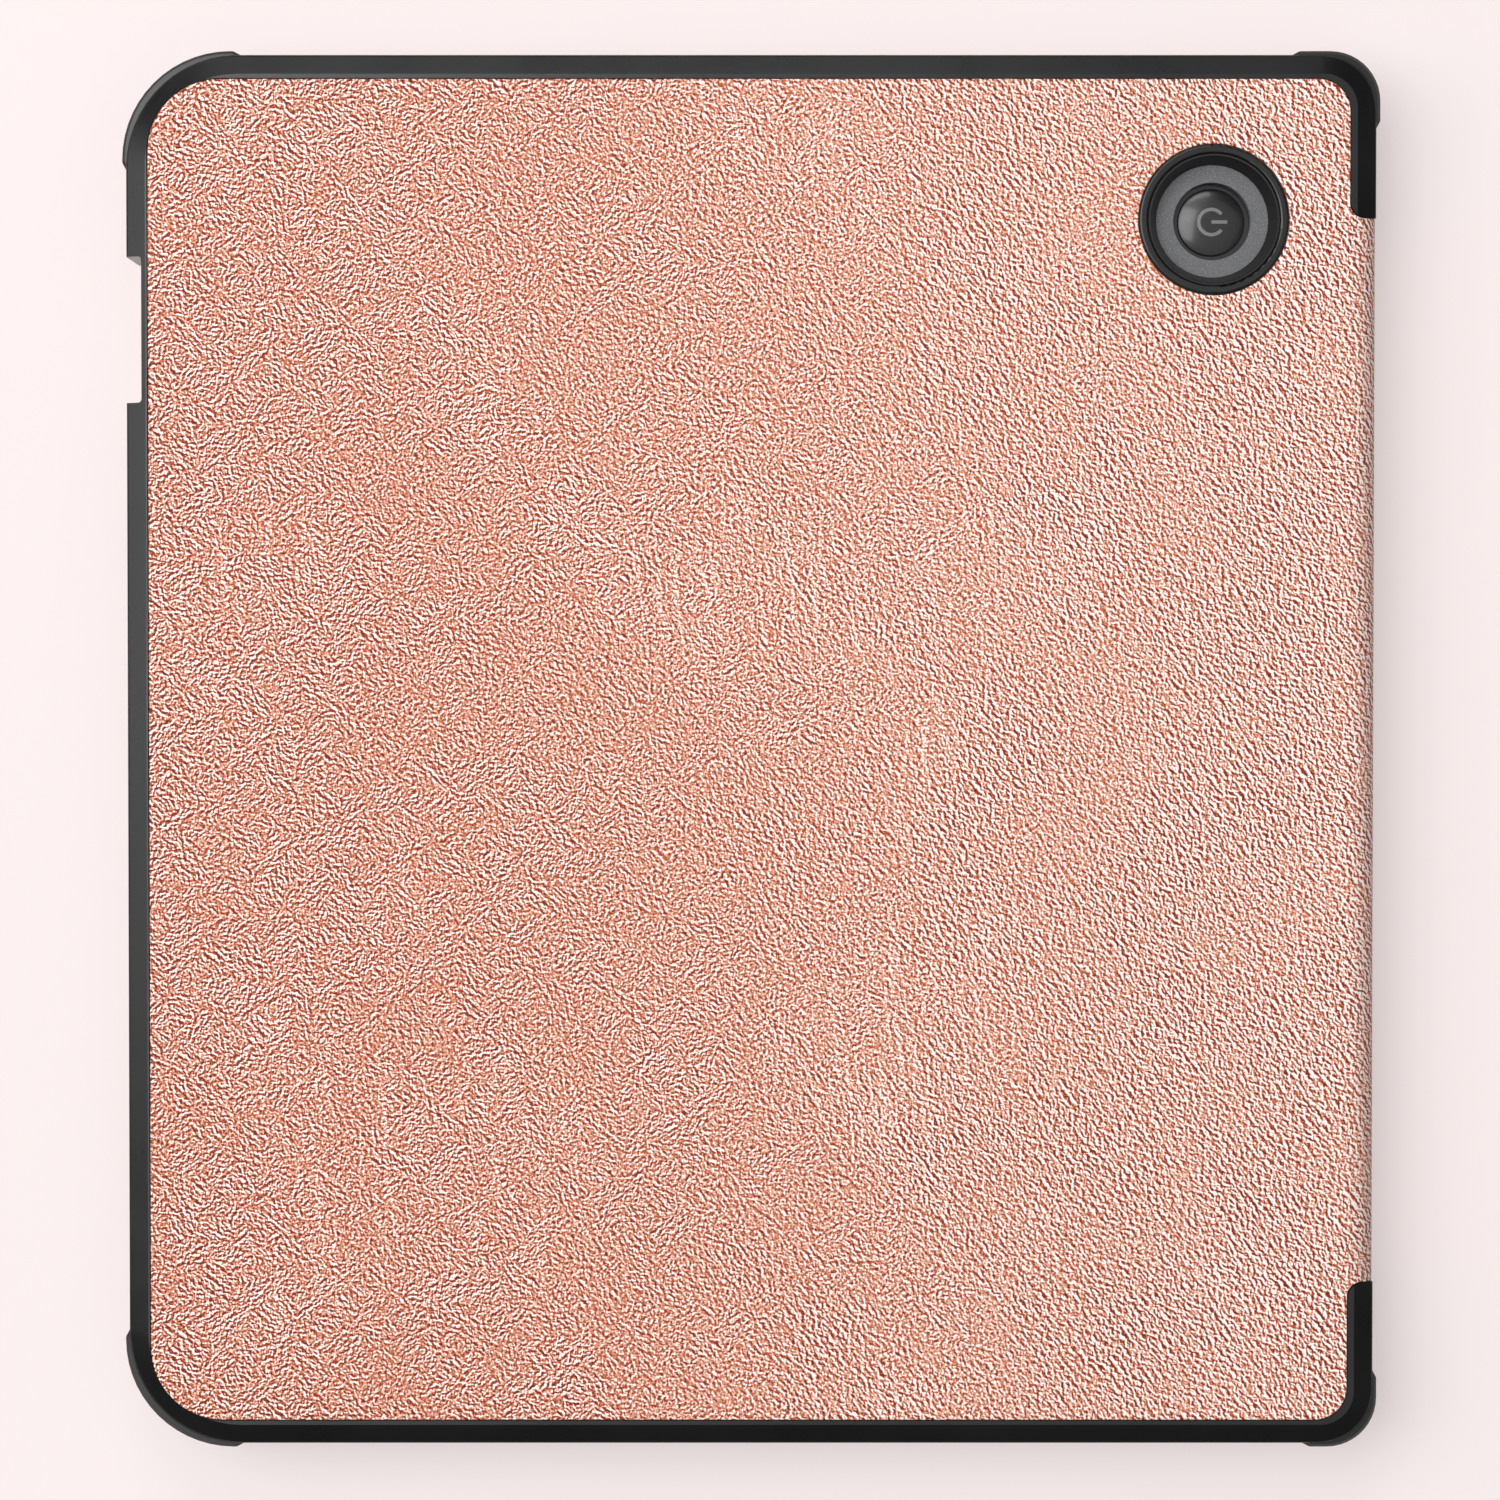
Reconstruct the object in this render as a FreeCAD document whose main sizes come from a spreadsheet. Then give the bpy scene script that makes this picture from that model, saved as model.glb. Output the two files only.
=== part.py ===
import FreeCAD, Part
import math
import os
import re
import Sketcher
from FreeCAD import Vector

# A seven-inch reading tablet in a folio cover, closed and lying on its front cover. Millimetres, +Z up:
# +X points to the spine, +Y to the tablet's top edge, and the back of the tray faces up.
# The origin is at the middle of the front cover's outer face.

# Driving dimensions. Every other size and place is worked out from these.
DIMS = {
    # tablet
    "device_width": 144.6,
    "device_length": 161.0,
    "device_thickness": 8.3,
    "grip_corner": 11.7,
    "spine_corner": 4.8,
    "back_edge_round": 2.2,
    "housing_wall": 1.2,
    "bezel_thickness": 0.9,
    "seal_thickness": 0.1,
    "seal_width": 1.0,
    "grip_width": 28.6,
    "window_margin": 8.6,
    "window_end_margin": 9.2,
    "window_round": 0.6,
    # layers behind the window
    "film_thickness": 0.2,
    "guide_thickness": 0.5,
    "panel_thickness": 0.8,
    "foam_thickness": 0.3,
    "chassis_thickness": 0.8,
    "panel_overlap": 3.4,
    "layer_gap": 0.05,
    # tray
    "fit_gap": 0.1,
    "tray_wall": 1.5,
    "end_wall": 1.7,
    "tray_floor": 1.2,
    "lip_thickness": 0.6,
    "lip_overlap": 0.7,
    "rim_height": 0.2,
    "rim_run": 2.4,
    "rim_fall": 1.07,
    "rim_band": 2.6,
    "end_rim_band": 2.9,
    "spine_band": 3.15,
    "strip_length": 19.25,
    "strip_round": 1.75,
    "opening_band": 2.6,
    "tray_edge_round": 0.4,
    "tray_foot_bevel": 0.4,
    "bumper_proud": 0.5,
    "bumper_reach": 14.1,
    "spine_bumper_reach": 9.2,
    "top_bumper_run": 10.5,
    "bottom_bumper_run": 8.9,
    "bumper_slope": 0.95,
    "bumper_ease": 0.5,
    "bumper_setback": 0.15,
    "bumper_foot": 0.5,
    "bumper_round": 0.8,
    "bumper_bevel": 0.35,
    "cut_past": 1.0,
    # covers
    "leather": 0.8,
    "board": 1.0,
    "lining": 0.4,
    "cover_gap": 0.3,
    "cover_inset": 0.5,
    "cover_spine_inset": 1.6,
    "board_inset": 0.8,
    "lining_inset": 0.4,
    "skin_gap": 0.05,
    "leather_grip_corner": 8.7,
    "leather_spine_corner": 3.9,
    "fold_radius": 2.2,
    "fold_sweep": 33.0,
    "fold_end_gap": 0.3,
    "stiffener": 0.25,
    "spine_lining": 0.25,
    "stiffener_setback": 0.5,
    "magnet_thickness": 0.8,
    "magnet_width": 4.0,
    "magnet_length": 18.0,
    "magnet_spacing": 30.0,
    "magnet_edge": 5.0,
    # power button and its well
    "button_inset": 17.7,
    "well_radius": 6.65,
    "well_overcut": 0.05,
    "funnel_width": 0.85,
    "groove_width": 0.25,
    "groove_depth": 0.4,
    "bead_width": 1.15,
    "collar_rise": 0.15,
    "bead_round": 0.35,
    "cap_radius": 4.0,
    "cap_clearance": 0.6,
    "flange_overlap": 0.6,
    "cap_crown": 0.35,
    "cap_recess": 0.5,
    "cap_edge_round": 0.3,
    "cap_crown_round": 3.0,
    "stem_radius": 1.5,
    "flange_thickness": 0.5,
    "button_travel": 0.3,
    "guide_clearance": 0.3,
    "guide_wall": 0.8,
    "guide_length": 1.4,
    "switch_width": 5.0,
    "switch_base": 0.6,
    "switch_height": 1.05,
    "switch_clearance": 0.1,
    # page buttons
    "page_button_width": 5.4,
    "page_button_length": 24.0,
    "page_button_spacing": 16.0,
    "page_button_margin": 14.3,
    "page_button_round": 2.4,
    "page_button_rise": 0.25,
    "page_travel": 0.3,
    "page_clearance": 0.3,
    "page_flange": 0.6,
    "page_flange_thickness": 0.55,
    "page_flange_gap": 0.15,
    "page_dome_height": 0.8,
    "page_dome_radius": 2.2,
    "page_board_width": 14.0,
    "page_board_margin": 16.0,
    "page_board_round": 1.0,
    "post_offset": 13.0,
    "sensor_offset": 8.0,
    "sensor_edge": 3.0,
    "sensor_width": 3.0,
    "sensor_length": 2.0,
    "sensor_height": 0.7,
    # charging port
    "port_from_top": 30.65,
    "notch_length": 17.25,
    "notch_depth": 1.9,
    "notch_round": 0.45,
    "port_width": 8.9,
    "port_height": 3.2,
    "port_depth": 7.4,
    "port_wall": 0.3,
    "port_clearance": 0.15,
    "port_recess": 0.1,
    "port_round_relief": 0.1,
    "port_lift": 0.65,
    "tongue_thickness": 0.7,
    "tongue_width": 6.7,
    "tongue_base": 1.2,
    "tongue_setback": 1.0,
    # chassis and electronics
    "chassis_grip_margin": 3.0,
    "chassis_side_gap": 0.8,
    "chassis_end_gap": 1.7,
    "chassis_round": 3.0,
    "boss_inset": 5.0,
    "boss_end_inset": 3.5,
    "boss_below_board": 3.0,
    "board_gap": 0.3,
    "circuit_board": 0.8,
    "mainboard_length": 35.0,
    "mainboard_margin": 2.1,
    "mainboard_setback": 0.6,
    "mainboard_round": 3.0,
    "mainboard_port_gap": 0.3,
    "switch_board": 0.6,
    "boss_radius": 2.0,
    "screw_radius": 0.7,
    "head_radius": 1.5,
    "head_height": 0.5,
    "boss_clearance": 0.5,
    "thread_end": 0.5,
    "screw_grip": 2.0,
    "screw_clearance": 0.1,
    "seat_clearance": 0.2,
    "foam_border": 4.0,
    "adhesive": 0.15,
    "battery_gap": 0.2,
    "battery_end_gap": 4.1,
    "battery_round": 1.5,
    "battery_board_gap": 6.0,
    "battery_side_gap": 4.0,
    "adhesive_border": 4.0,
    "ribbon": 0.15,
    "ribbon_width": 14.0,
    "ribbon_bend": 0.4,
    "ribbon_edge_gap": 0.6,
    "ribbon_reach": 4.0,
    "socket_height": 0.8,
    "socket_length": 3.0,
    "display_ribbon_x": 8.0,
    "touch_ribbon_x": 46.0,
    "page_ribbon_width": 4.0,
    "page_ribbon_edge": 1.0,
    "page_ribbon_start": 12.0,
    "page_ribbon_reach": 5.0,
    "lamp_strip_width": 3.0,
    "lamp_pitch": 12.0,
    "lamp_width": 3.0,
    "lamp_length": 1.2,
    "lamp_setback": 0.7,
    "lamp_gap": 0.1,
    "shield_margin": 3.0,
    "shield_gap": 0.2,
    "shield_wall": 0.2,
    "antenna_thickness": 0.2,
    "antenna_length": 26.0,
    "antenna_height": 2.0,
    "lead_width": 6.0,
    "lead_thickness": 0.4,
    "lead_lap": 2.0,
}

# Places and levels that follow from the driving dimensions, in the order in which they build on each other.
PLACES = {
    "board_low": "leather",
    "board_top": "board_low + board",
    "lining_top": "board_top + lining",
    "tray_low": "lining_top + cover_gap",
    "device_front": "tray_low + lip_thickness",
    "device_back": "device_front + device_thickness",
    "floor_low": "device_back + fit_gap",
    "floor_top": "floor_low + tray_floor",
    "leather_top": "floor_top + leather",
    "rim_top": "leather_top + rim_height",
    "edge_top": "rim_top - rim_fall",
    "collar_top": "rim_top + collar_rise",
    "device_side": "device_width / 2",
    "device_end": "device_length / 2",
    "tray_side": "device_side + fit_gap + tray_wall",
    "tray_end": "device_end + fit_gap + end_wall",
    "tray_grip_corner": "grip_corner + fit_gap + tray_wall",
    "tray_spine_corner": "spine_corner + fit_gap + tray_wall",
    "spine_half": "tray_end - strip_length",
    "fold_start": "tray_side - fold_radius",
    "bezel_back": "device_front + bezel_thickness",
    "housing_front": "bezel_back + seal_thickness",
    "housing_inside": "device_back - housing_wall",
    "film_front": "bezel_back + layer_gap",
    "guide_front": "film_front + film_thickness",
    "panel_front": "guide_front + guide_thickness",
    "foam_front": "panel_front + panel_thickness",
    "chassis_front": "foam_front + foam_thickness",
    "chassis_back": "chassis_front + chassis_thickness",
    "mainboard_front": "chassis_back + board_gap",
    "mainboard_back": "mainboard_front + circuit_board",
    "inner_side": "device_side - housing_wall",
    "inner_end": "device_end - housing_wall",
    "window_right": "device_side - window_margin",
    "window_left": "grip_width - device_side",
    "window_end": "device_end - window_end_margin",
    "chassis_left": "window_left - panel_overlap - chassis_grip_margin",
    "chassis_right": "inner_side - chassis_side_gap",
    "chassis_end": "inner_end - chassis_end_gap",
    "groove_inner": "well_radius + funnel_width",
    "bead_inner": "groove_inner + groove_width",
    "collar_radius": "bead_inner + bead_width",
    "button_hole": "cap_radius + cap_clearance",
    "button_flange": "button_hole + flange_overlap",
    "button_x": "device_side - button_inset",
    "button_y": "device_end - button_inset",
    "port_y": "device_end - port_from_top",
    "port_middle": "mainboard_back + port_lift",
    "page_x": "page_button_margin - device_side",
    "page_flange_front": "bezel_back + page_flange_gap",
    "page_flange_back": "page_flange_front + page_flange_thickness",
    "page_dome_top": "page_flange_back + page_travel + switch_clearance",
    "switch_board_front": "page_dome_top + page_dome_height",
    "switch_board_back": "switch_board_front + switch_board",
    "mainboard_top": "chassis_end - mainboard_setback",
    "mainboard_bottom": "mainboard_top - mainboard_length",
    "battery_top": "mainboard_bottom - battery_board_gap",
    "boss_left": "chassis_left + boss_inset",
    "boss_right": "chassis_right - boss_inset",
    "boss_top": "chassis_end - boss_end_inset",
    "boss_middle": "mainboard_bottom - boss_below_board",
    "boss_bottom": "boss_end_inset - chassis_end",
    "battery_bottom": "boss_bottom + battery_end_gap",
    "panel_left": "window_left - panel_overlap",
    "panel_right": "window_right + panel_overlap",
    "panel_end": "window_end + panel_overlap",
    "switch_top": "mainboard_back + switch_height",
    "key_stem_end": "switch_top + switch_clearance + button_travel",
    "key_flange_top": "housing_inside - guide_clearance",
    "key_flange_low": "key_flange_top - flange_thickness",
    "cap_top": "device_back - cap_recess",
    "sensor_x": "page_x + page_board_width / 2 - sensor_edge",
    "sensor_y": "-page_button_spacing - sensor_offset",
    "socket_top": "mainboard_back + socket_height",
    "ribbon_far": "chassis_end + ribbon_edge_gap",
    "fold_top": "leather_top - fold_radius",
}

# Mainboard parts: distances from the power key's x and the board's lower edge, width, length and height.
COMPONENTS = {
    "processor": ("23", "17", "14", "14", "1.1"),
    "system_memory": ("50", "10", "12", "10", "1"),
    "storage_memory": ("50", "23", "12", "10", "1"),
    "wireless_module": ("76", "16", "15", "13", "1.6"),
    "power_chip": ("102", "9", "7", "7", "0.9"),
    "status_light": ("9", "20", "1.6", "1", "0.6"),
}
LEAD_PLUG = ("44", "3", "9", "3", "1.1")
CLOSURE_MAGNETS = (-1, 1)
LAMPS_EACH_SIDE = 4
PAGE_BUTTONS = {"page_button_upper": 1, "page_button_lower": -1}

doc = FreeCAD.newDocument("folio_tablet")
home = {}


def fill_sheet(name, cells):
    """Put one alias and one number or formula in each row of a new spreadsheet."""
    sheet = doc.addObject("Spreadsheet::Sheet", name)
    for row, (alias, content) in enumerate(cells.items(), 1):
        sheet.set("A%d" % row, alias)
        sheet.set("B%d" % row, content)
        sheet.setAlias("B%d" % row, alias)
    doc.recompute()
    home.update({alias: name + "." for alias in cells})
    return sheet


def bind(formula):
    """Turn the bare names in a formula into references to their cells."""
    return re.sub(r"[a-z_]+", lambda found: cell(found.group(0)), formula)


def cell(word):
    return home.get(word, "") + word


dims = fill_sheet("dims", {alias: str(size) for alias, size in DIMS.items()})
places = fill_sheet("places", {alias: "=" + bind(formula) for alias, formula in PLACES.items()})


def value(formula):
    result = dims.evalExpression(bind(formula))
    return float(getattr(result, "Value", result))


# ---- sketches ----

def new_sketch(body, name, plane, base):
    """A sketch on one of the body's own origin planes, moved by formulas in base."""
    sketch = body.newObject("Sketcher::SketchObject", name)
    origin_plane = [item for item in body.Origin.OriginFeatures if item.Role == plane][0]
    sketch.AttachmentSupport = (origin_plane, "")
    sketch.MapMode = "FlatFace"
    for axis, formula in base.items():
        sketch.setExpression("AttachmentOffset.Base." + axis, bind(formula))
    return sketch


def tie(sketch, formula, *constraint):
    """Add a sized constraint and bind it to its formula."""
    index = sketch.addConstraint(Sketcher.Constraint(*constraint, value(formula)))
    name = "size_%d" % index
    sketch.renameConstraint(index, name)
    sketch.setExpression("Constraints." + name, bind(formula))


def tie_point(sketch, x, y, geometry, point):
    tie(sketch, x, "DistanceX", -1, 1, geometry, point)
    tie(sketch, y, "DistanceY", -1, 1, geometry, point)


def draw_circle(sketch, x, y, radius):
    centre = Vector(value(x), value(y), 0)
    circle = sketch.addGeometry(Part.Circle(centre, Vector(0, 0, 1), value(radius)), False)
    tie(sketch, radius, "Radius", circle)
    tie_point(sketch, x, y, circle, 3)


def draw_outline(sketch, corners):
    """A closed outline of straight sides; each corner is (x, y, radius or None), anticlockwise."""
    points = [Vector(value(x), value(y), 0) for x, y, radius in corners]
    turns = []
    for index, (x, y, radius) in enumerate(corners):
        here = points[index]
        along = (here - points[index - 1]).normalize()
        onward = (points[(index + 1) % len(points)] - here).normalize()
        turn = math.atan2(along.cross(onward).z, along.dot(onward))
        size = value(radius) if radius else 0.0
        trim = size * math.tan(abs(turn) / 2)
        turns.append((here - along * trim, here + onward * trim, along, turn, size))
    sides = []
    for index, (start, end, along, turn, size) in enumerate(turns):
        reach = turns[(index + 1) % len(turns)][0]
        sides.append(sketch.addGeometry(Part.LineSegment(end, reach), False))
    for index, (x, y, radius) in enumerate(corners):
        before = sides[index - 1]
        after = sides[index]
        if radius:
            anchor = round_corner(sketch, turns[index], points[index], radius, before, after)
        else:
            sketch.addConstraint(Sketcher.Constraint("Coincident", before, 2, after, 1))
            anchor = after
        tie_point(sketch, x, y, anchor, 1)


def round_corner(sketch, turn_data, corner, radius, before, after):
    """An arc tangent to both sides; returns the construction point at the sharp corner."""
    start, end, along, turn, size = turn_data
    left = turn > 0
    across = Vector(-along.y, along.x, 0) * (size if left else -size)
    centre = start + across
    first = math.atan2(start.y - centre.y, start.x - centre.x)
    last = math.atan2(end.y - centre.y, end.x - centre.x)
    if not left:
        first, last = last, first
    if last < first:
        last += 2 * math.pi
    circle = Part.Circle(centre, Vector(0, 0, 1), size)
    arc = sketch.addGeometry(Part.ArcOfCircle(circle, first, last), False)
    entry, leave = (1, 2) if left else (2, 1)
    sketch.addConstraint(Sketcher.Constraint("Tangent", before, 2, arc, entry))
    sketch.addConstraint(Sketcher.Constraint("Tangent", arc, leave, after, 1))
    tie(sketch, radius, "Radius", arc)
    point = sketch.addGeometry(Part.Point(corner), True)
    sketch.addConstraint(Sketcher.Constraint("PointOnObject", point, 1, before))
    sketch.addConstraint(Sketcher.Constraint("PointOnObject", point, 1, after))
    return point


def draw_bend(sketch, x, z, start, sweep):
    """A sector of a bent leather sheet: its centre, the angle it starts at and the angle it sweeps."""
    first = value(start)
    last = first + value(sweep)
    centre = Vector(value(x), value(z), 0)
    outer_size = value("fold_radius")
    inner_size = value("fold_radius - leather")
    up = Vector(0, 0, 1)
    low = math.radians(first)
    high = math.radians(last)
    outer_circle = Part.Circle(centre, up, outer_size)
    inner_circle = Part.Circle(centre, up, inner_size)
    outer = sketch.addGeometry(Part.ArcOfCircle(outer_circle, low, high), False)
    inner = sketch.addGeometry(Part.ArcOfCircle(inner_circle, low, high), False)
    sketch.addConstraint(Sketcher.Constraint("Coincident", outer, 3, inner, 3))
    for end, angle in ((1, low), (2, high)):
        ray = Vector(math.cos(angle), math.sin(angle), 0)
        across = Part.LineSegment(centre + ray * inner_size, centre + ray * outer_size)
        edge = sketch.addGeometry(across, False)
        sketch.addConstraint(Sketcher.Constraint("Coincident", edge, 1, inner, end))
        sketch.addConstraint(Sketcher.Constraint("Coincident", edge, 2, outer, end))
        index = sketch.addConstraint(Sketcher.Constraint("Angle", edge, angle))
        sketch.renameConstraint(index, "edge_%d" % end)
        formula = start if end == 1 else "%s + %s" % (start, sweep)
        sketch.setExpression("Constraints.edge_%d" % end, "(%s) * 1 deg" % bind(formula))
    tie(sketch, "fold_radius", "Radius", outer)
    tie(sketch, "fold_radius - leather", "Radius", inner)
    tie_point(sketch, x, z, outer, 3)


def rectangle(left, right, low, high, left_round=None, right_round=None):
    return [(left, low, left_round), (right, low, right_round),
            (right, high, right_round), (left, high, left_round)]


def block(x, y, width, length):
    """A rectangle about a centre."""
    return rectangle("(%s) - (%s) / 2" % (x, width), "(%s) + (%s) / 2" % (x, width),
                     "(%s) - (%s) / 2" % (y, length), "(%s) + (%s) / 2" % (y, length))


def draw(sketch, shapes):
    """Draw each shape: a circle is (x, y, radius) and an outline is a list of corners."""
    for shape in shapes:
        if isinstance(shape, tuple):
            draw_circle(sketch, *shape)
        else:
            draw_outline(sketch, shape)


# ---- bodies and features ----

def new_body(name):
    body = doc.addObject("PartDesign::Body", name)
    body.Label = name
    body.AllowCompound = True
    body.Placement = FreeCAD.Placement()
    return body


def feature(body, kind, name, sketch, length):
    made = body.newObject("PartDesign::" + kind, name)
    made.Profile = sketch
    made.setExpression("Length", bind(length))
    return made


def add(body, name, low, high, *shapes):
    """Raise the shapes from one level to another."""
    sketch = new_sketch(body, name + "_sketch", "XY_Plane", {"z": low})
    draw(sketch, shapes)
    pad = feature(body, "Pad", name, sketch, "%s - (%s)" % (high, low))
    doc.recompute()
    return pad


def add_sloped(body, name, low, rise, run, *shapes):
    """Raise the shapes with sides that slope inwards by a run over the rise."""
    sketch = new_sketch(body, name + "_sketch", "XY_Plane", {"z": low})
    draw(sketch, shapes)
    pad = feature(body, "Pad", name, sketch, rise)
    pad.setExpression("TaperAngle", bind("-atan(%s / %s)" % (run, rise)))
    doc.recompute()


def remove(body, name, low, high, *shapes):
    """Cut the shapes out between two levels."""
    before = body.Shape.Volume
    sketch = new_sketch(body, name + "_sketch", "XY_Plane", {"z": high})
    draw(sketch, shapes)
    feature(body, "Pocket", name, sketch, "%s - (%s)" % (high, low))
    doc.recompute()
    check_cut(body, name, before)


def check_cut(body, name, before):
    if body.Shape.Volume >= before - 1e-6:
        raise RuntimeError("%s in %s cut nothing" % (name, body.Label))


def soften(body, kind, name, size, edges):
    """Put a fillet or a chamfer on some edges of the body's last feature."""
    base = body.Tip
    softened = body.newObject("PartDesign::" + kind, name)
    softened.Base = (base, edges)
    softened.setExpression("Radius" if kind == "Fillet" else "Size", bind(size))
    doc.recompute()


def level_edges(body, level):
    """The names of the edges at one level where a face meets an upright wall."""
    height = value(level)
    return ["Edge%d" % number for number, edge in enumerate(body.Shape.Edges, 1)
            if all(abs(vertex.Z - height) < 1e-6 for vertex in edge.Vertexes)
            and any(is_upright(face) for face in body.Shape.ancestorsOfType(edge, Part.Face))]


def is_upright(face):
    low_u, high_u, low_v, high_v = face.ParameterRange
    return abs(face.normalAt((low_u + high_u) / 2, (low_v + high_v) / 2).z) < 1e-6


def add_sideways(body, name, plane, base, length, *shapes):
    """Raise shapes drawn on an upright plane, evenly to both sides of it."""
    sketch = new_sketch(body, name + "_sketch", plane, base)
    draw(sketch, shapes)
    pad = feature(body, "Pad", name, sketch, length)
    pad.SideType = "Symmetric"
    doc.recompute()


def add_bend(body, name, z, start, sweep):
    """A bent strip of leather along the spine."""
    sketch = new_sketch(body, name + "_sketch", "XZ_Plane", {})
    draw_bend(sketch, "fold_start", z, start, sweep)
    pad = feature(body, "Pad", name, sketch, "2 * (spine_half - fold_end_gap)")
    pad.SideType = "Symmetric"
    doc.recompute()


def turn_profile(body, name, x, y, corners):
    """Turn a profile of (radius, height) corners about an upright axis."""
    sketch = new_sketch(body, name + "_sketch", "XZ_Plane", {"x": x, "z": "-(%s)" % y})
    draw(sketch, [corners])
    turned = body.newObject("PartDesign::Revolution", name)
    turned.Profile = sketch
    turned.ReferenceAxis = (sketch, ["V_Axis"])
    turned.Angle = 360
    doc.recompute()


def plate(name, low, high, *shapes):
    body = new_body(name)
    add(body, "plate", low, high, *shapes)
    return body


# ---- front cover ----

def cover_outline(inset, reach):
    """The front cover's outline with a tab that reaches the fold."""
    side = "tray_side - cover_inset - %s" % inset
    wing = "tray_side - cover_spine_inset - %s" % inset
    end = "tray_end - cover_inset - %s" % inset
    tab = "spine_half - fold_end_gap"
    grip_round = "tray_grip_corner - cover_inset - %s" % inset
    spine_round = "tray_spine_corner - cover_inset - %s" % inset
    return [("-(%s)" % side, "-(%s)" % end, grip_round),
            (wing, "-(%s)" % end, spine_round),
            (wing, "-(%s)" % tab, None),
            (reach, "-(%s)" % tab, None),
            (reach, tab, None),
            (wing, tab, None),
            (wing, end, spine_round),
            ("-(%s)" % side, end, grip_round)]


def make_front_leather():
    body = plate("front_leather", "0", "leather", cover_outline("0", "fold_start"))
    add_bend(body, "fold", "fold_radius", "-90", "fold_sweep")


def board_outline():
    side = "tray_side - cover_inset - board_inset"
    end = "tray_end - cover_inset - board_inset"
    return rectangle("-(%s)" % side, "fold_start - board_inset", "-(%s)" % end, end,
                     "tray_grip_corner - cover_inset - board_inset",
                     "tray_spine_corner - cover_inset - board_inset")


def closure_magnet_shapes():
    x = "magnet_edge - tray_side"
    return [block(x, "%d * magnet_spacing" % side, "magnet_width", "magnet_length")
            for side in CLOSURE_MAGNETS]


def sleep_magnet_shape():
    return block("sensor_x", "sensor_y", "magnet_width", "magnet_width")


def make_front_board():
    body = plate("front_board", "board_low", "board_top", board_outline())
    remove(body, "magnet_pockets", "board_low", "board_low + magnet_thickness",
           *closure_magnet_shapes(), sleep_magnet_shape())


def make_magnets():
    plate("closure_magnets", "board_low", "board_low + magnet_thickness", *closure_magnet_shapes())
    plate("sleep_magnet", "board_low", "board_low + magnet_thickness", sleep_magnet_shape())


def make_front_lining():
    plate("front_lining", "board_top", "lining_top",
          cover_outline("lining_inset", "fold_start - lining_inset"))


# ---- spine ----

def make_spine():
    leather = new_body("spine_leather")
    length = "2 * (spine_half - fold_end_gap)"
    add_sideways(leather, "web", "XZ_Plane", {}, length,
                 rectangle("tray_side - leather", "tray_side", "fold_radius", "fold_top"))
    add_bend(leather, "upper_fold", "fold_top", "0", "fold_sweep")
    add_bend(leather, "lower_fold", "fold_radius", "-fold_sweep", "fold_sweep")
    low = "fold_radius + stiffener_setback"
    high = "fold_top - stiffener_setback"
    stiffener = new_body("spine_stiffener")
    inside = "tray_side - leather"
    add_sideways(stiffener, "web", "XZ_Plane", {}, length + " - 2 * stiffener_setback",
                 rectangle(inside + " - stiffener", inside, low, high))
    lining = new_body("spine_lining")
    inside = "tray_side - leather - stiffener"
    add_sideways(lining, "web", "XZ_Plane", {}, length,
                 rectangle(inside + " - spine_lining", inside, low, high))


# ---- tray ----

def back_outline(ease, reach):
    """The back leather's outline, eased outwards, with its tab towards the fold."""
    side = "tray_side - rim_band + %s" % ease
    strip = "tray_side - spine_band + %s" % ease
    end = "tray_end - end_rim_band + %s" % ease
    tab = "spine_half + %s" % ease
    return [("-(%s)" % side, "-(%s)" % end, "leather_grip_corner"),
            (strip, "-(%s)" % end, "leather_spine_corner"),
            (strip, "-(%s)" % tab, "strip_round"),
            (reach, "-(%s)" % tab, None),
            (reach, tab, None),
            (strip, tab, "strip_round"),
            (strip, end, "leather_spine_corner"),
            ("-(%s)" % side, end, "leather_grip_corner")]


def tray_outline(ease, spine_side_ease):
    side = "tray_side + %s" % ease
    end = "tray_end + %s" % ease
    return rectangle("-(%s)" % side, "tray_side + %s" % spine_side_ease, "-(%s)" % end, end,
                     "tray_grip_corner + %s" % ease, "tray_spine_corner + %s" % ease)


def bumper_shape(x_side, y_side, corner_round, run, reach):
    """A bumper round one corner of the tray: it runs along the end and reaches along the side."""
    def spot(x, y, radius=None):
        return "%d * (%s)" % (x_side, x), "%d * (%s)" % (y_side, y), radius
    side = "tray_side + bumper_proud"
    end = "tray_end + bumper_proud"
    shape = [spot("%s - %s + bumper_slope" % (side, run), end, "bumper_round"),
             spot(side, end, corner_round + " - bumper_ease"),
             spot(side, "%s - %s + bumper_slope" % (end, reach), "bumper_round"),
             spot("tray_side - bumper_proud", "%s - %s - bumper_slope" % (end, reach)),
             spot("%s - %s - bumper_slope" % (side, run), "tray_end - bumper_proud")]
    return shape[::-1] if x_side == y_side else shape


def bumper_shapes():
    shapes = []
    for y_side, spine_run in ((1, "top_bumper_run"), (-1, "bottom_bumper_run")):
        shapes.append(bumper_shape(-1, y_side, "tray_grip_corner", "bumper_reach", "bumper_reach"))
        shapes.append(bumper_shape(1, y_side, "tray_spine_corner", spine_run, "spine_bumper_reach"))
    return shapes


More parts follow.
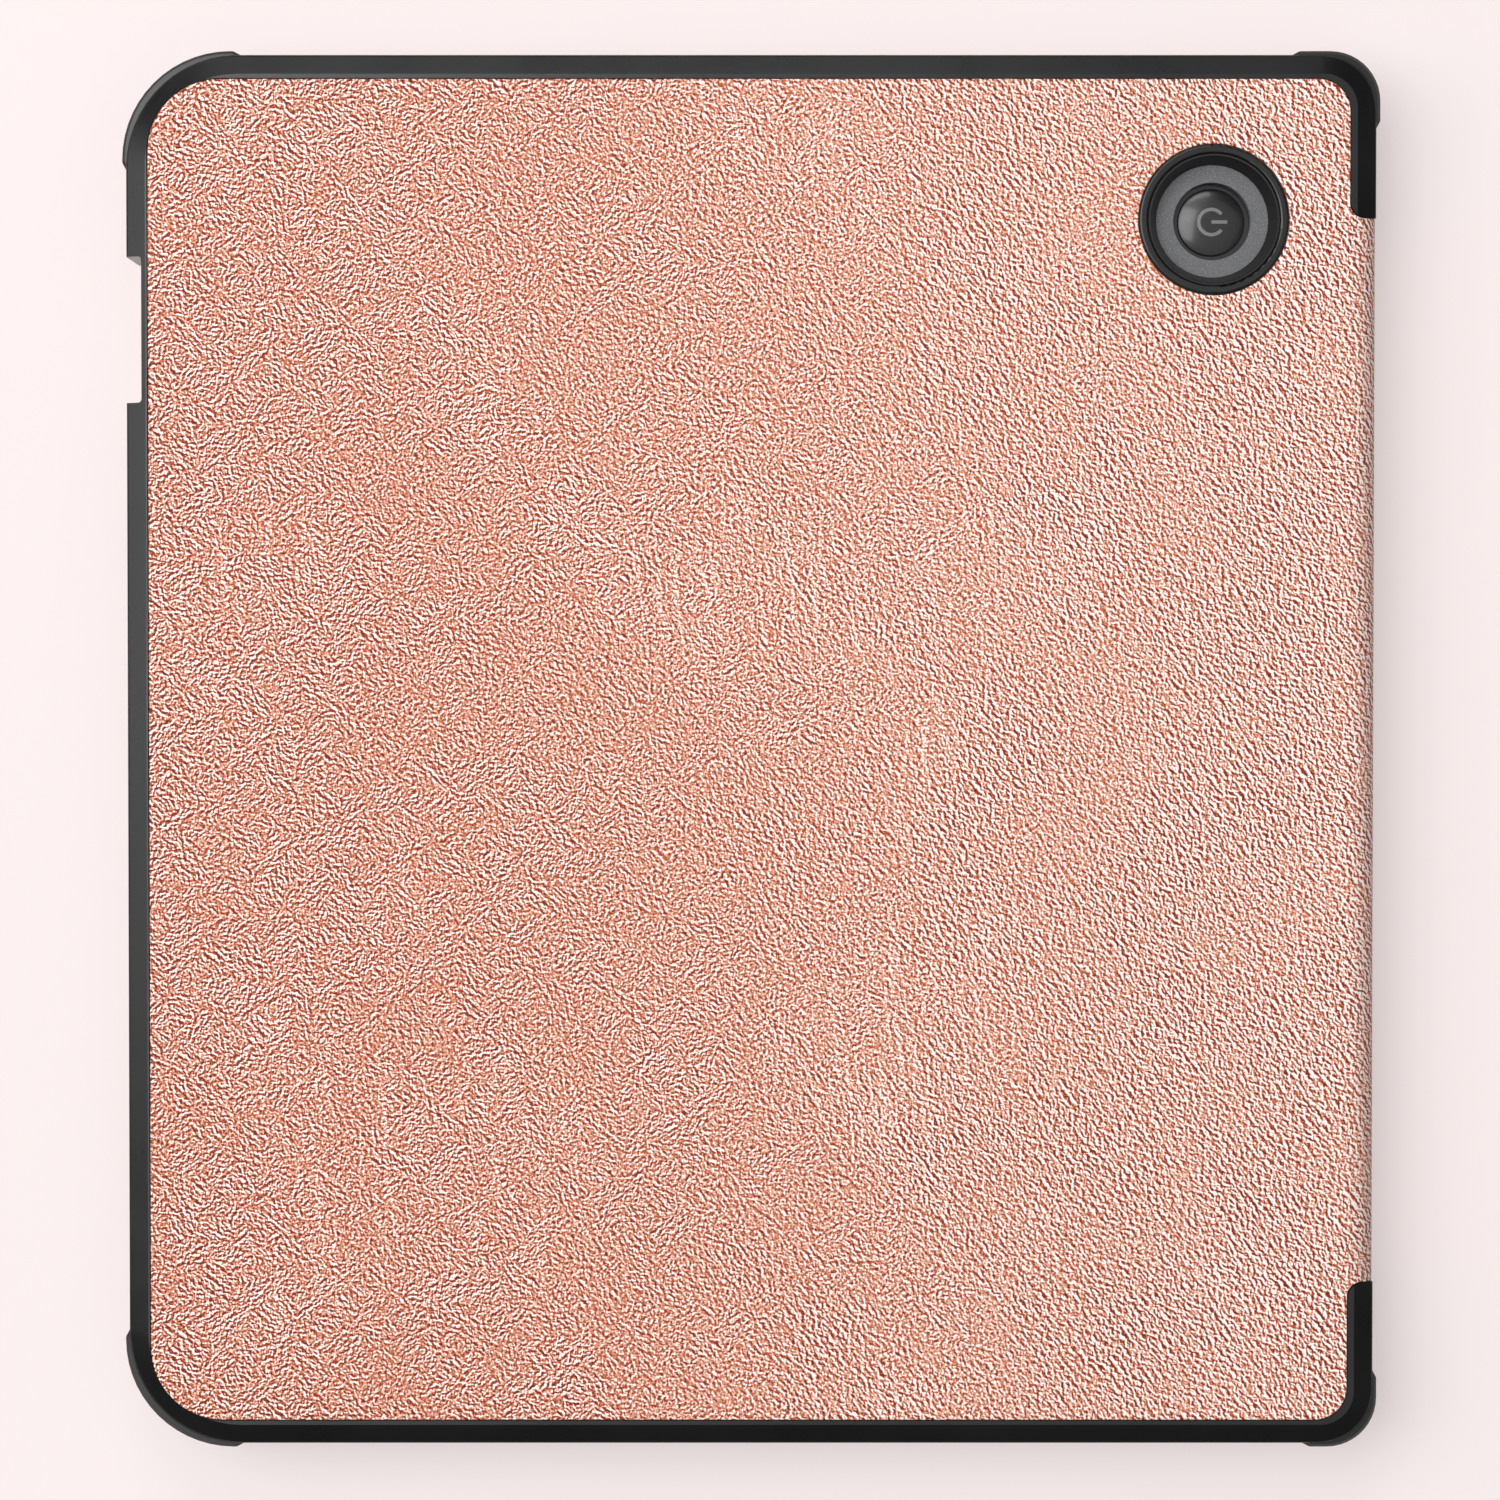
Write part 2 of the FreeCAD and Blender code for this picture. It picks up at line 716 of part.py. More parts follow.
def make_tray():
    body = plate("case_tray", "tray_low", "edge_top", tray_outline("0", "0"))
    add_sloped(body, "rim", "edge_top", "rim_fall", "rim_run", tray_outline("0", "0"))
    soften(body, "Fillet", "edge_round", "tray_edge_round", level_edges(body, "edge_top"))
    soften(body, "Chamfer", "foot_bevel", "tray_foot_bevel", level_edges(body, "tray_low"))
    shoulder = "edge_top - bumper_setback - bumper_bevel"
    add(body, "bumpers", "tray_low + bumper_foot", shoulder, *bumper_shapes())
    add_sloped(body, "bumper_tops", shoulder, "bumper_bevel", "bumper_bevel", *bumper_shapes())
    beyond = "tray_side + tray_wall"
    remove(body, "leather_recess", "floor_top", "rim_top + cut_past", back_outline("0", beyond))
    remove(body, "device_space", "device_front", "floor_low", case_fit("fit_gap"))
    remove(body, "front_opening", "tray_low - cut_past", "device_front", case_fit("-lip_overlap"))
    opening = "tray_side - opening_band"
    remove(body, "spine_opening", "tray_low - cut_past", "rim_top + cut_past",
           rectangle(opening, beyond, "-spine_half", "spine_half"))
    remove(body, "notch", "tray_low - cut_past", "rim_top + cut_past", notch_shape())
    remove(body, "well", "floor_low - well_overcut", "rim_top", ("button_x", "button_y", "bead_inner"))
    turn_profile(body, "collar", "button_x", "button_y", [
        ("well_radius", "floor_low", None),
        ("collar_radius", "floor_low", None),
        ("collar_radius", "collar_top", "bead_round"),
        ("bead_inner", "collar_top", "bead_round"),
        ("bead_inner", "collar_top - groove_depth", None),
        ("groove_inner", "collar_top - groove_depth", None),
        ("groove_inner", "collar_top - groove_depth / 2", None)])


def case_fit(ease):
    """The tablet's outline, eased outwards."""
    side = "device_side + %s" % ease
    end = "device_end + %s" % ease
    return rectangle("-(%s)" % side, side, "-(%s)" % end, end,
                     "grip_corner + %s" % ease, "spine_corner + %s" % ease)


def notch_shape():
    inner = "notch_depth - tray_side"
    low = "port_y - notch_length / 2"
    high = "port_y + notch_length / 2"
    return rectangle("-(tray_side + tray_wall)", inner, low, high, None, "notch_round")


def make_back_leather():
    body = plate("back_leather", "floor_top", "leather_top", back_outline("-skin_gap", "fold_start"))
    remove(body, "collar_hole", "floor_top", "leather_top",
           ("button_x", "button_y", "collar_radius + skin_gap"))
    add_bend(body, "fold", "fold_top", "90 - fold_sweep", "fold_sweep")


# ---- tablet shell ----

def boss_places():
    return [(x, y) for y in ("boss_top", "boss_middle", "boss_bottom") for x in ("boss_left", "boss_right")]


def at_bosses(radius):
    return [place + (radius,) for place in boss_places()]


def board_posts():
    return [("page_x", "%d * (page_button_spacing + post_offset)" % side) for side in PAGE_BUTTONS.values()]


def make_rear_housing():
    body = plate("rear_housing", "housing_front", "device_back", case_fit("0"))
    soften(body, "Fillet", "back_round", "back_edge_round", level_edges(body, "device_back"))
    remove(body, "inside", "housing_front", "housing_inside", case_fit("-housing_wall"))
    add(body, "bosses", "chassis_back", "housing_inside", *at_bosses("boss_radius"))
    add(body, "posts", "switch_board_back", "housing_inside",
        *[post + ("boss_radius",) for post in board_posts()])
    remove(body, "screw_holes", "chassis_back", "housing_inside - thread_end", *at_bosses("screw_radius"))
    guide = "button_flange + guide_clearance"
    add(body, "button_guide", "housing_inside - guide_length", "housing_inside",
        ("button_x", "button_y", guide + " + guide_wall"), ("button_x", "button_y", guide))
    remove(body, "button_hole", "housing_inside", "device_back", ("button_x", "button_y", "button_hole"))
    before = body.Shape.Volume
    sketch = new_sketch(body, "port_sketch", "YZ_Plane", {"z": "guide_wall - inner_side"})
    draw(sketch, [port_outline("port_clearance")])
    feature(body, "Pocket", "port_slot", sketch, "housing_wall + 2 * guide_wall")
    doc.recompute()
    check_cut(body, "port_slot", before)


def port_outline(ease):
    """The charging port's rounded outline, drawn across the device."""
    half = "port_width / 2 + %s" % ease
    rise = "port_height / 2 + %s" % ease
    corner = "port_height / 2 - port_round_relief + %s" % ease
    return rectangle("port_y - (%s)" % half, "port_y + (%s)" % half,
                     "port_middle - (%s)" % rise, "port_middle + (%s)" % rise, corner, corner)


def make_front_bezel():
    holes = [page_button_shape(side, "page_clearance") for side in PAGE_BUTTONS.values()]
    window = rectangle("window_left", "window_right", "-window_end", "window_end",
                       "window_round", "window_round")
    plate("front_bezel", "device_front", "bezel_back", case_fit("0"), window, *holes)


def make_bezel_seal():
    plate("bezel_seal", "bezel_back", "housing_front", case_fit("0"), case_fit("-seal_width"))


# ---- buttons ----

def page_button_shape(side, ease):
    x = "page_x"
    y = "(%d * page_button_spacing)" % side
    half = "(page_button_width / 2 + %s)" % ease
    reach = "(page_button_length / 2 + %s)" % ease
    corner = "page_button_round + %s" % ease
    return rectangle("%s - %s" % (x, half), "%s + %s" % (x, half),
                     "%s - %s" % (y, reach), "%s + %s" % (y, reach), corner, corner)


def make_page_buttons():
    for name, side in PAGE_BUTTONS.items():
        body = plate(name, "device_front - page_button_rise", "page_flange_front",
                     page_button_shape(side, "0"))
        add(body, "flange", "page_flange_front", "page_flange_back",
            page_button_shape(side, "page_clearance + page_flange"))


def make_power_button():
    body = new_body("power_button")
    turn_profile(body, "cap", "button_x", "button_y", [
        ("0", "key_stem_end", None),
        ("stem_radius", "key_stem_end", None),
        ("stem_radius", "key_flange_low", None),
        ("button_flange", "key_flange_low", None),
        ("button_flange", "key_flange_top", None),
        ("cap_radius", "key_flange_top", None),
        ("cap_radius", "cap_top - cap_crown", "cap_edge_round"),
        ("cap_radius / 2", "cap_top", "cap_crown_round"),
        ("0", "cap_top", None)])


def make_switches():
    body = plate("power_switch", "mainboard_back", "mainboard_back + switch_base",
                 block("button_x", "button_y", "switch_width", "switch_width"))
    add(body, "dome", "mainboard_back + switch_base", "switch_top", ("button_x", "button_y", "stem_radius"))
    domes = [("page_x", "%d * page_button_spacing" % side, "page_dome_radius")
             for side in PAGE_BUTTONS.values()]
    plate("page_switches", "page_dome_top", "switch_board_front", *domes)
    reach = "page_button_spacing + page_board_margin"
    plate("page_button_board", "switch_board_front", "switch_board_back",
          rectangle("page_x - page_board_width / 2", "page_x + page_board_width / 2",
                    "-(%s)" % reach, reach, "page_board_round", "page_board_round"))


# ---- display stack ----

def make_display():
    whole = rectangle("panel_left", "panel_right", "-panel_end", "panel_end")
    plate("touch_film", "film_front", "guide_front", whole)
    plate("light_guide", "guide_front", "panel_front", whole)
    plate("epaper_panel", "panel_front", "foam_front", whole)
    plate("display_foam", "foam_front", "chassis_front", whole,
          rectangle("panel_left + foam_border", "panel_right - foam_border",
                    "foam_border - panel_end", "panel_end - foam_border"))
    strip = plate("light_strip", "panel_front", "panel_front + ribbon",
                  rectangle("panel_left", "panel_right", "-panel_end - lamp_strip_width", "-panel_end"))
    middle = "(panel_left + panel_right) / 2"
    lamps = [block("%s + %d * lamp_pitch" % (middle, step), "-panel_end - lamp_setback",
                   "lamp_width", "lamp_length")
             for step in range(-LAMPS_EACH_SIDE, LAMPS_EACH_SIDE + 1)]
    add(strip, "lamps", "guide_front + lamp_gap", "panel_front", *lamps)


def make_chassis():
    body = plate("chassis", "chassis_front", "chassis_back",
                 rectangle("chassis_left", "chassis_right", "-chassis_end", "chassis_end",
                           "chassis_round", "chassis_round"))
    head_end = "chassis_front + head_height"
    remove(body, "screw_holes", "chassis_front", "chassis_back",
           *at_bosses("screw_radius + screw_clearance"))
    remove(body, "screw_seats", "chassis_front", head_end, *at_bosses("head_radius + seat_clearance"))
    screws = plate("chassis_screws", "chassis_front", head_end, *at_bosses("head_radius"))
    add(screws, "shanks", head_end, "chassis_back + screw_grip", *at_bosses("screw_radius"))


def ribbon_outline(start_z):
    """A flat ribbon from the panel's edge round the chassis to its socket, seen from the side."""
    start = "panel_end"
    end = "mainboard_top - ribbon_reach"
    near = "ribbon_far - ribbon"
    inner = "ribbon_bend - ribbon"
    return [(start, start_z, None), ("ribbon_far", start_z, "ribbon_bend"),
            ("ribbon_far", "socket_top + ribbon", "ribbon_bend"), (end, "socket_top + ribbon", None),
            (end, "socket_top", None), (near, "socket_top", inner),
            (near, start_z + " + ribbon", inner), (start, start_z + " + ribbon", None)]


def make_ribbons():
    touch_width = "ribbon_width / 2"
    display = new_body("display_ribbon")
    add_sideways(display, "ribbon", "YZ_Plane", {"z": "display_ribbon_x"}, "ribbon_width",
                 ribbon_outline("panel_front + ribbon_bend"))
    touch = new_body("touch_ribbon")
    add_sideways(touch, "ribbon", "YZ_Plane", {"z": "touch_ribbon_x"}, touch_width,
                 ribbon_outline("film_front"))
    socket_y = "mainboard_top - ribbon_reach + socket_length / 2"
    plate("ribbon_sockets", "mainboard_back", "socket_top",
          block("display_ribbon_x", socket_y, "ribbon_width", "socket_length"),
          block("touch_ribbon_x", socket_y, touch_width, "socket_length"))
    left = "page_x - page_board_width / 2 + page_ribbon_edge"
    right = left + " + page_ribbon_width"
    reach = "mainboard_bottom + page_ribbon_reach"
    page = plate("page_button_ribbon", "switch_board_back", "switch_board_back + ribbon",
                 rectangle(left, right, "page_button_spacing + page_ribbon_start", reach))
    add(page, "plug", "switch_board_back + ribbon", "mainboard_front",
        rectangle(left, right, reach + " - page_ribbon_width", reach))


# ---- electronics ----

def make_mainboard():
    side = "inner_side - mainboard_margin"
    body = plate("mainboard", "mainboard_front", "mainboard_back",
                 rectangle("-(%s)" % side, side, "mainboard_bottom", "mainboard_top",
                           "mainboard_round", "mainboard_round"))
    half = "(port_width / 2 + mainboard_port_gap)"
    remove(body, "port_cutout", "mainboard_front", "mainboard_back",
           rectangle("-device_side", "port_recess + port_depth + mainboard_port_gap - device_side",
                     "port_y - " + half, "port_y + " + half))
    remove(body, "boss_holes", "mainboard_front", "mainboard_back",
           *[(x, y, "boss_radius + boss_clearance") for x, y in boss_places() if y == "boss_top"])


def component_shape(x, y, width, length):
    """A component's outline, placed from the power key's x and the mainboard's lower edge."""
    return block("button_x - %s" % x, "mainboard_bottom + %s" % y, width, length)


def make_components():
    for name, (x, y, width, length, height) in COMPONENTS.items():
        plate(name, "mainboard_back", "mainboard_back + %s" % height, component_shape(x, y, width, length))


def make_shield():
    """A sheet-metal lid over the processor."""
    x, y, width, length, height = COMPONENTS["processor"]
    lid = "mainboard_back + %s + shield_gap" % height
    outer = component_shape(x, y, width + " + 2 * shield_margin", length + " + 2 * shield_margin")
    inner_margin = "2 * (shield_margin - shield_wall)"
    inner = component_shape(x, y, "%s + %s" % (width, inner_margin), "%s + %s" % (length, inner_margin))
    body = plate("processor_shield", "mainboard_back", lid + " + shield_wall", outer)
    remove(body, "hollow", "mainboard_back", lid, inner)


def make_radio():
    radio_x = "button_x - %s" % COMPONENTS["wireless_module"][0]
    plate("antenna", "mainboard_back", "mainboard_back + antenna_height",
          block(radio_x, "inner_end - antenna_thickness / 2", "antenna_length", "antenna_thickness"))
    plate("hall_sensor", "switch_board_back", "switch_board_back + sensor_height",
          block("sensor_x", "sensor_y", "sensor_width", "sensor_length"))


def make_battery():
    left = "boss_left + battery_side_gap"
    right = "boss_right - battery_side_gap"
    low = "chassis_back + adhesive"
    plate("battery_adhesive", "chassis_back", low,
          rectangle(left + " + adhesive_border", right + " - adhesive_border",
                    "battery_bottom + adhesive_border", "battery_top - adhesive_border"))
    plate("battery_cell", low, "housing_inside - battery_gap",
          rectangle(left, right, "battery_bottom", "battery_top", "battery_round", "battery_round"))
    x, y, width, length, height = LEAD_PLUG
    body = plate("battery_lead", "mainboard_back", "mainboard_back + lead_thickness",
                 rectangle("button_x - %s - lead_width / 2" % x, "button_x - %s + lead_width / 2" % x,
                           "battery_top", "mainboard_bottom + lead_lap"))
    add(body, "plug", "mainboard_back", "mainboard_back + %s" % height,
        component_shape(x, y, width, length))


def make_port():
    shell = new_body("port_shell")
    middle = "port_recess + port_depth / 2 - device_side"
    add_sideways(shell, "shell", "YZ_Plane", {"z": middle}, "port_depth",
                 port_outline("0"), port_outline("-port_wall"))
    tongue = new_body("port_tongue")
    base_middle = middle + " + port_depth / 2 - tongue_base / 2"
    add_sideways(tongue, "base", "YZ_Plane", {"z": base_middle}, "tongue_base", port_outline("-port_wall"))
    add_sideways(tongue, "blade", "YZ_Plane", {"z": middle}, "port_depth - 2 * tongue_setback",
                 rectangle("port_y - tongue_width / 2", "port_y + tongue_width / 2",
                           "port_middle - tongue_thickness / 2", "port_middle + tongue_thickness / 2"))


def write_parts():
    """Check every object, then write each sub-part to its own file."""
    doc.recompute()
    for item in doc.Objects:
        if "Invalid" in item.State or "Error" in item.State:
            raise RuntimeError("%s did not recompute" % item.Label)
    bodies = [item for item in doc.Objects if item.TypeId == "PartDesign::Body"]
    for body in bodies:
        if body.Shape.isNull() or not body.Shape.isValid() or not body.Shape.Solids:
            raise RuntimeError("%s has no valid shape" % body.Label)
    os.makedirs("parts", exist_ok=True)
    for body in bodies:
        body.Shape.exportStep(os.path.join("parts", body.Label + ".step"))
    print("wrote", len(bodies), "parts")


make_front_leather()
make_front_board()
make_magnets()
make_front_lining()
make_spine()
make_tray()
make_back_leather()
make_rear_housing()
make_front_bezel()
make_bezel_seal()
make_page_buttons()
make_power_button()
make_switches()
make_display()
make_chassis()
make_ribbons()
make_mainboard()
make_components()
make_shield()
make_radio()
make_battery()
make_port()
write_parts()
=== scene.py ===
import math
import bmesh
import bpy
from mathutils import Matrix, Vector


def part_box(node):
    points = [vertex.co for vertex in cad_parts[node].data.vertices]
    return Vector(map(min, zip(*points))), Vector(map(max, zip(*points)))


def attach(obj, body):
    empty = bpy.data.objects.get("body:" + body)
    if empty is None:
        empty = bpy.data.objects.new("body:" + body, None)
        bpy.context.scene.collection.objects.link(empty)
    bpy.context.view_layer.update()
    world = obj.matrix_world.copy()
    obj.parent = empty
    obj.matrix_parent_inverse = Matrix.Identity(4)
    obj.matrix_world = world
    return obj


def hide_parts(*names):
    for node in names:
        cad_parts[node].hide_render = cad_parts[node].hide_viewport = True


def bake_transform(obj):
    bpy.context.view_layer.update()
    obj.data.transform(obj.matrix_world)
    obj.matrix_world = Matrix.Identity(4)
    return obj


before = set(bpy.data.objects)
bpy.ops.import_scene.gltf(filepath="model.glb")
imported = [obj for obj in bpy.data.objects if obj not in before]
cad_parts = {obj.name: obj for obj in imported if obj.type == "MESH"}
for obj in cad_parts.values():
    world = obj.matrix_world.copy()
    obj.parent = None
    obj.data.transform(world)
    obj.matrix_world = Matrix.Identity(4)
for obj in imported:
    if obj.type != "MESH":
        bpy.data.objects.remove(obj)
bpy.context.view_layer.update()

MM = 0.001

# ---- places, read from the frame ----

SPINE_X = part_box("spine_leather")[1][0]
BACK_LOW, BACK_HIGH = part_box("back_leather")
FRONT_LOW, FRONT_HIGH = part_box("front_leather")
BACK_Z = BACK_HIGH[2]
TRAY_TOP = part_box("case_tray")[1][2]
KEY_LOW, KEY_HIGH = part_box("power_button")
KEY_X = (KEY_LOW[0] + KEY_HIGH[0]) / 2
KEY_Y = (KEY_LOW[1] + KEY_HIGH[1]) / 2

# ---- sizes of the soft cover ----

FOLD_RADIUS = 2.2 * MM
LEATHER = 0.8 * MM
COVER_DEPTH = 1.85 * MM
LINING = 0.35 * MM
SPINE_LINING_DEPTH = 0.82 * MM
FOLD_STEPS = 14
SPINE_HALF = 62.95 * MM
STRIP_INSET = 3.2 * MM
STRIP_ROUND = 1.75 * MM
BACK_GRIP_ROUND = 8.65 * MM
BACK_SPINE_ROUND = 3.85 * MM
FRONT_GRIP_ROUND = 12.8 * MM
FRONT_SPINE_ROUND = 5.9 * MM
LINING_BORDER = 1.7 * MM
LINING_CORNER = 0.8 * MM
LINING_EDGE = 0.12 * MM
TAPER_SETBACK = 3.2 * MM
TAPER_LENGTH = 2.2 * MM
TAPER_STEPS = 5
COLLAR_HOLE = 8.93 * MM
SEAM_GAP = 0.01 * MM

STRAIGHT = SPINE_X - FOLD_RADIUS
FOLD_END = STRAIGHT + FOLD_RADIUS * math.pi / 2
MID_U = FOLD_END + BACK_Z / 2 - FOLD_RADIUS


# ---- shader graph helpers ----

class Signal:
    """A node's output; arithmetic on it adds Math nodes."""

    def __init__(self, graph, socket):
        self.graph = graph
        self.socket = socket

    def _math(self, operation, first, second):
        return self.graph.node("ShaderNodeMath", {"operation": operation}, {0: first, 1: second})

    def __add__(self, other):
        return self._math("ADD", self, other)

    def __radd__(self, other):
        return self._math("ADD", other, self)

    def __sub__(self, other):
        return self._math("SUBTRACT", self, other)

    def __rsub__(self, other):
        return self._math("SUBTRACT", other, self)

    def __mul__(self, other):
        return self._math("MULTIPLY", self, other)

    def __rmul__(self, other):
        return self._math("MULTIPLY", other, self)


class Material:
    """A node material: a Principled shader and one method that makes any other node."""

    def __init__(self, name, constants):
        self.material = bpy.data.materials.new(name)
        self.material.use_nodes = True
        self.tree = self.material.node_tree
        self.shader = self.tree.nodes["Principled BSDF"]
        for socket, value in constants.items():
            self.shader.inputs[socket].default_value = value

    def node(self, kind, settings=None, inputs=None, output=0):
        made = self.tree.nodes.new(kind)
        for name, value in (settings or {}).items():
            if name == "stops":
                self.set_stops(made.color_ramp, value)
            else:
                setattr(made, name, value)
        for socket, value in (inputs or {}).items():
            if isinstance(value, Signal):
                self.tree.links.new(value.socket, made.inputs[socket])
            else:
                made.inputs[socket].default_value = value
        return Signal(self, made.outputs[output])

    def set_stops(self, ramp, stops):
        while len(ramp.elements) < len(stops):
            ramp.elements.new(0.5)
        for element, (place, colour) in zip(ramp.elements, stops):
            element.position = place
            element.color = tuple(colour) + (1.0,)

    def place(self, source="Object"):
        return self.node("ShaderNodeTexCoord", output=source)

    def turned(self, vector, degrees, scale):
        """The same place in a turned and stretched frame."""
        angle = (0.0, 0.0, math.radians(degrees))
        return self.node("ShaderNodeMapping", {"vector_type": "TEXTURE"},
                         {"Vector": vector, "Rotation": angle, "Scale": scale})

    def shifted(self, vector, offset):
        return self.node("ShaderNodeVectorMath", {"operation": "ADD"}, {0: vector, 1: offset})

    def noise(self, vector, scale, detail=2.0, roughness=0.5, distortion=0.0):
        return self.node("ShaderNodeTexNoise", {}, {"Vector": vector, "Scale": scale, "Detail": detail,
                                                    "Roughness": roughness, "Distortion": distortion})

    def ramp(self, value, *stops):
        return self.node("ShaderNodeValToRGB", {"stops": stops}, {"Fac": value})

    def fade(self, value, low, high, out_low=0.0, out_high=1.0):
        return self.node("ShaderNodeMapRange", {"interpolation_type": "SMOOTHSTEP"},
                         {"Value": value, "From Min": low, "From Max": high,
                          "To Min": out_low, "To Max": out_high})

    def mix(self, factor, first, second):
        return self.node("ShaderNodeMix", {"data_type": "RGBA"},
                         {0: factor, 6: first, 7: second}, output=2)

    def split(self, vector, axis):
        return self.node("ShaderNodeSeparateXYZ", {}, {0: vector}, output=axis)

    def bump(self, height, distance, strength=1.0):
        return self.node("ShaderNodeBump", {},
                         {"Height": height, "Distance": distance, "Strength": strength})

    def feed(self, **links):
        for name, value in links.items():
            self.tree.links.new(value.socket, self.shader.inputs[name.replace("_", " ")])
        return self.material


def rgb(red, green, blue):
    """An 8-bit display colour as the linear values that a shader takes."""
    linear = []
    for channel in (red, green, blue):
        share = channel / 255
        linear.append(share / 12.92 if share <= 0.04045 else ((share + 0.055) / 1.055) ** 2.4)
    return tuple(linear)


# ---- materials ----

COVER_HALF = 80.0 * MM
# where the painted shade on the spine's rounded edge begins and reaches full strength
FOLD_SHADE_FROM = 70.0 * MM
FOLD_SHADE_TO = 72.8 * MM
GRAIN_REACH = 0.24
GRAIN_CONTRAST = 3.2
# tones from painted shade in the creases to painted highlight on the ridges, over the leather's own
# rose-gold
LEATHER_TONES = ((0.08, rgb(112, 22, 0)),
                 (0.28, rgb(170, 76, 44)),
                 (0.44, rgb(198, 119, 88)),
                 (0.58, rgb(220, 160, 135)),
                 (0.74, rgb(242, 206, 191)),
                 (0.90, rgb(255, 252, 250)))


def make_leather():
    """Rose-gold grained leather: its own tone, with painted highlight on pale ridges and painted shade in
    red-brown creases.

    It is the same on both covers, painted lighter towards the spine as a painted sheen, and a little
    darker where it rounds over the spine's edge, as painted shade.
    """
    paint = Material("rose_gold_leather", {"Metallic": 0.0, "Specular IOR Level": 0.22})
    sheet = paint.place("UV")
    wander = paint.noise(sheet, 55.0, 2.0)
    weave = paint.noise(paint.shifted(sheet, (0.4, 0.2, 0.0)), 260.0, 1.0)
    spread = paint.split(sheet, 0)
    across = paint.node("ShaderNodeMath", {"operation": "MINIMUM"}, {0: spread, 1: 2 * MID_U - spread})

    def strokes(degrees, pitch, length, seed):
        """Painted highlight and painted shade of the grain's relief: light and dark strokes that run one
        way, the slope of a stretched noise.
        """
        moved = paint.shifted(sheet, (0.13 * seed, 0.07 * seed, 0.0))
        along = paint.turned(moved, degrees, (length * MM, pitch * MM, 1.0))
        ahead = paint.noise(paint.shifted(along, (0.0, GRAIN_REACH, 0.0)), 1.0, 1.0, 0.5, 0.4)
        behind = paint.noise(paint.shifted(along, (0.0, -GRAIN_REACH, 0.0)), 1.0, 1.0, 0.5, 0.4)
        return ahead - behind

    steep = strokes(-54.0, 0.42, 0.54, 1.0) * 1.05
    rising = strokes(33.0, 0.40, 0.40, 2.0)
    falling = strokes(-38.0, 0.41, 0.45, 3.0)
    lean = paint.fade(wander * 0.6 + across * 2.6, 0.10, 0.54)
    cross = paint.fade(weave, 0.42, 0.58)
    crossed = rising * cross + falling * (1.0 - cross)
    # painted highlight and painted shade of the grain's relief; the same signal is the bump height below
    grain = steep * lean + crossed * (1.0 - lean)
    aside = paint.shifted(sheet, (0.3, 0.0, 0.0))
    long_frame = paint.turned(aside, -83.0, (11.0 * MM, 0.55 * MM, 1.0))
    long_lines = paint.noise(long_frame, 1.0, 1.0, 0.5, 0.6)
    line_groups = paint.fade(paint.noise(paint.shifted(sheet, (0.0, 0.5, 0.0)), 30.0, 1.0), 0.48, 0.66)
    # painted highlight: pale lines along the long ridges, which the bump also raises a little
    long_ridge = paint.fade(long_lines, 0.56, 0.70) * line_groups
    worn = paint.fade(paint.noise(sheet, 75.0, 3.0, 0.6), 0.45, 0.75, 1.0, 0.82)
    # painted sheen: the leather is painted lighter towards the spine on both covers
    sheen_toward_spine = paint.fade(across, -COVER_HALF, COVER_HALF, 0.47, 0.60)
    # the colour ramp takes painted highlight and shade from the grain, painted sheen towards the spine
    # and painted highlight on the long ridges
    lift = grain * worn * GRAIN_CONTRAST + sheen_toward_spine + long_ridge * 0.14
    colour = paint.ramp(lift, *LEATHER_TONES)
    # painted shade: the leather turns grey-brown where it rounds over the spine's edge
    fold_shade = paint.fade(across, FOLD_SHADE_FROM, FOLD_SHADE_TO, 0.0, 0.30)
    fold_shaded_colour = paint.mix(fold_shade, colour, (*rgb(112, 92, 84), 1.0))
    relief = grain * worn + long_ridge * 0.3
    return paint.feed(Base_Color=fold_shaded_colour, Roughness=paint.fade(lift, 0.2, 0.9, 0.60, 0.38),
                      Normal=paint.bump(relief, 0.03 * MM, 0.15))


def make_plastic(name, colour, roughness, spread, grain_scale, relief, fleck=None, gloss=0.5):
    """Moulded plastic: a slow drift in colour and sheen over a fine spark-eroded grain."""
    paint = Material(name, {"Specular IOR Level": gloss})
    spot = paint.place()
    slow = paint.noise(spot, 90.0, 3.0)
    fine = paint.noise(spot, grain_scale, 2.0, 0.6)
    dark = tuple(channel * 0.75 for channel in colour)
    body = paint.mix(slow, (*dark, 1.0), (*colour, 1.0))
    if fleck:
        body = paint.mix(paint.fade(fine, 0.52, 0.72, 0.0, 0.75), body, (*fleck, 1.0))
    return paint.feed(Base_Color=body,
                      Roughness=paint.fade(slow, 0.3, 0.7, roughness - spread, roughness + spread),
                      Normal=paint.bump(fine, relief))


def make_metal(name, colour, roughness, grain_scale):
    """Metal with a drawn grain along X and a little tarnish."""
    paint = Material(name, {"Metallic": 1.0})
    drawn = paint.turned(paint.place(), 0.0, (12.0, 1.0, 1.0))
    lines = paint.noise(drawn, grain_scale, 3.0)
    tarnish = paint.noise(paint.place(), 160.0, 2.0)
    dull = tuple(channel * 0.7 for channel in colour)
    return paint.feed(Base_Color=paint.mix(paint.fade(tarnish, 0.4, 0.8), (*colour, 1.0), (*dull, 1.0)),
                      Roughness=paint.fade(lines, 0.3, 0.7, roughness - 0.08, roughness + 0.08),
                      Normal=paint.bump(lines, 0.004 * MM))


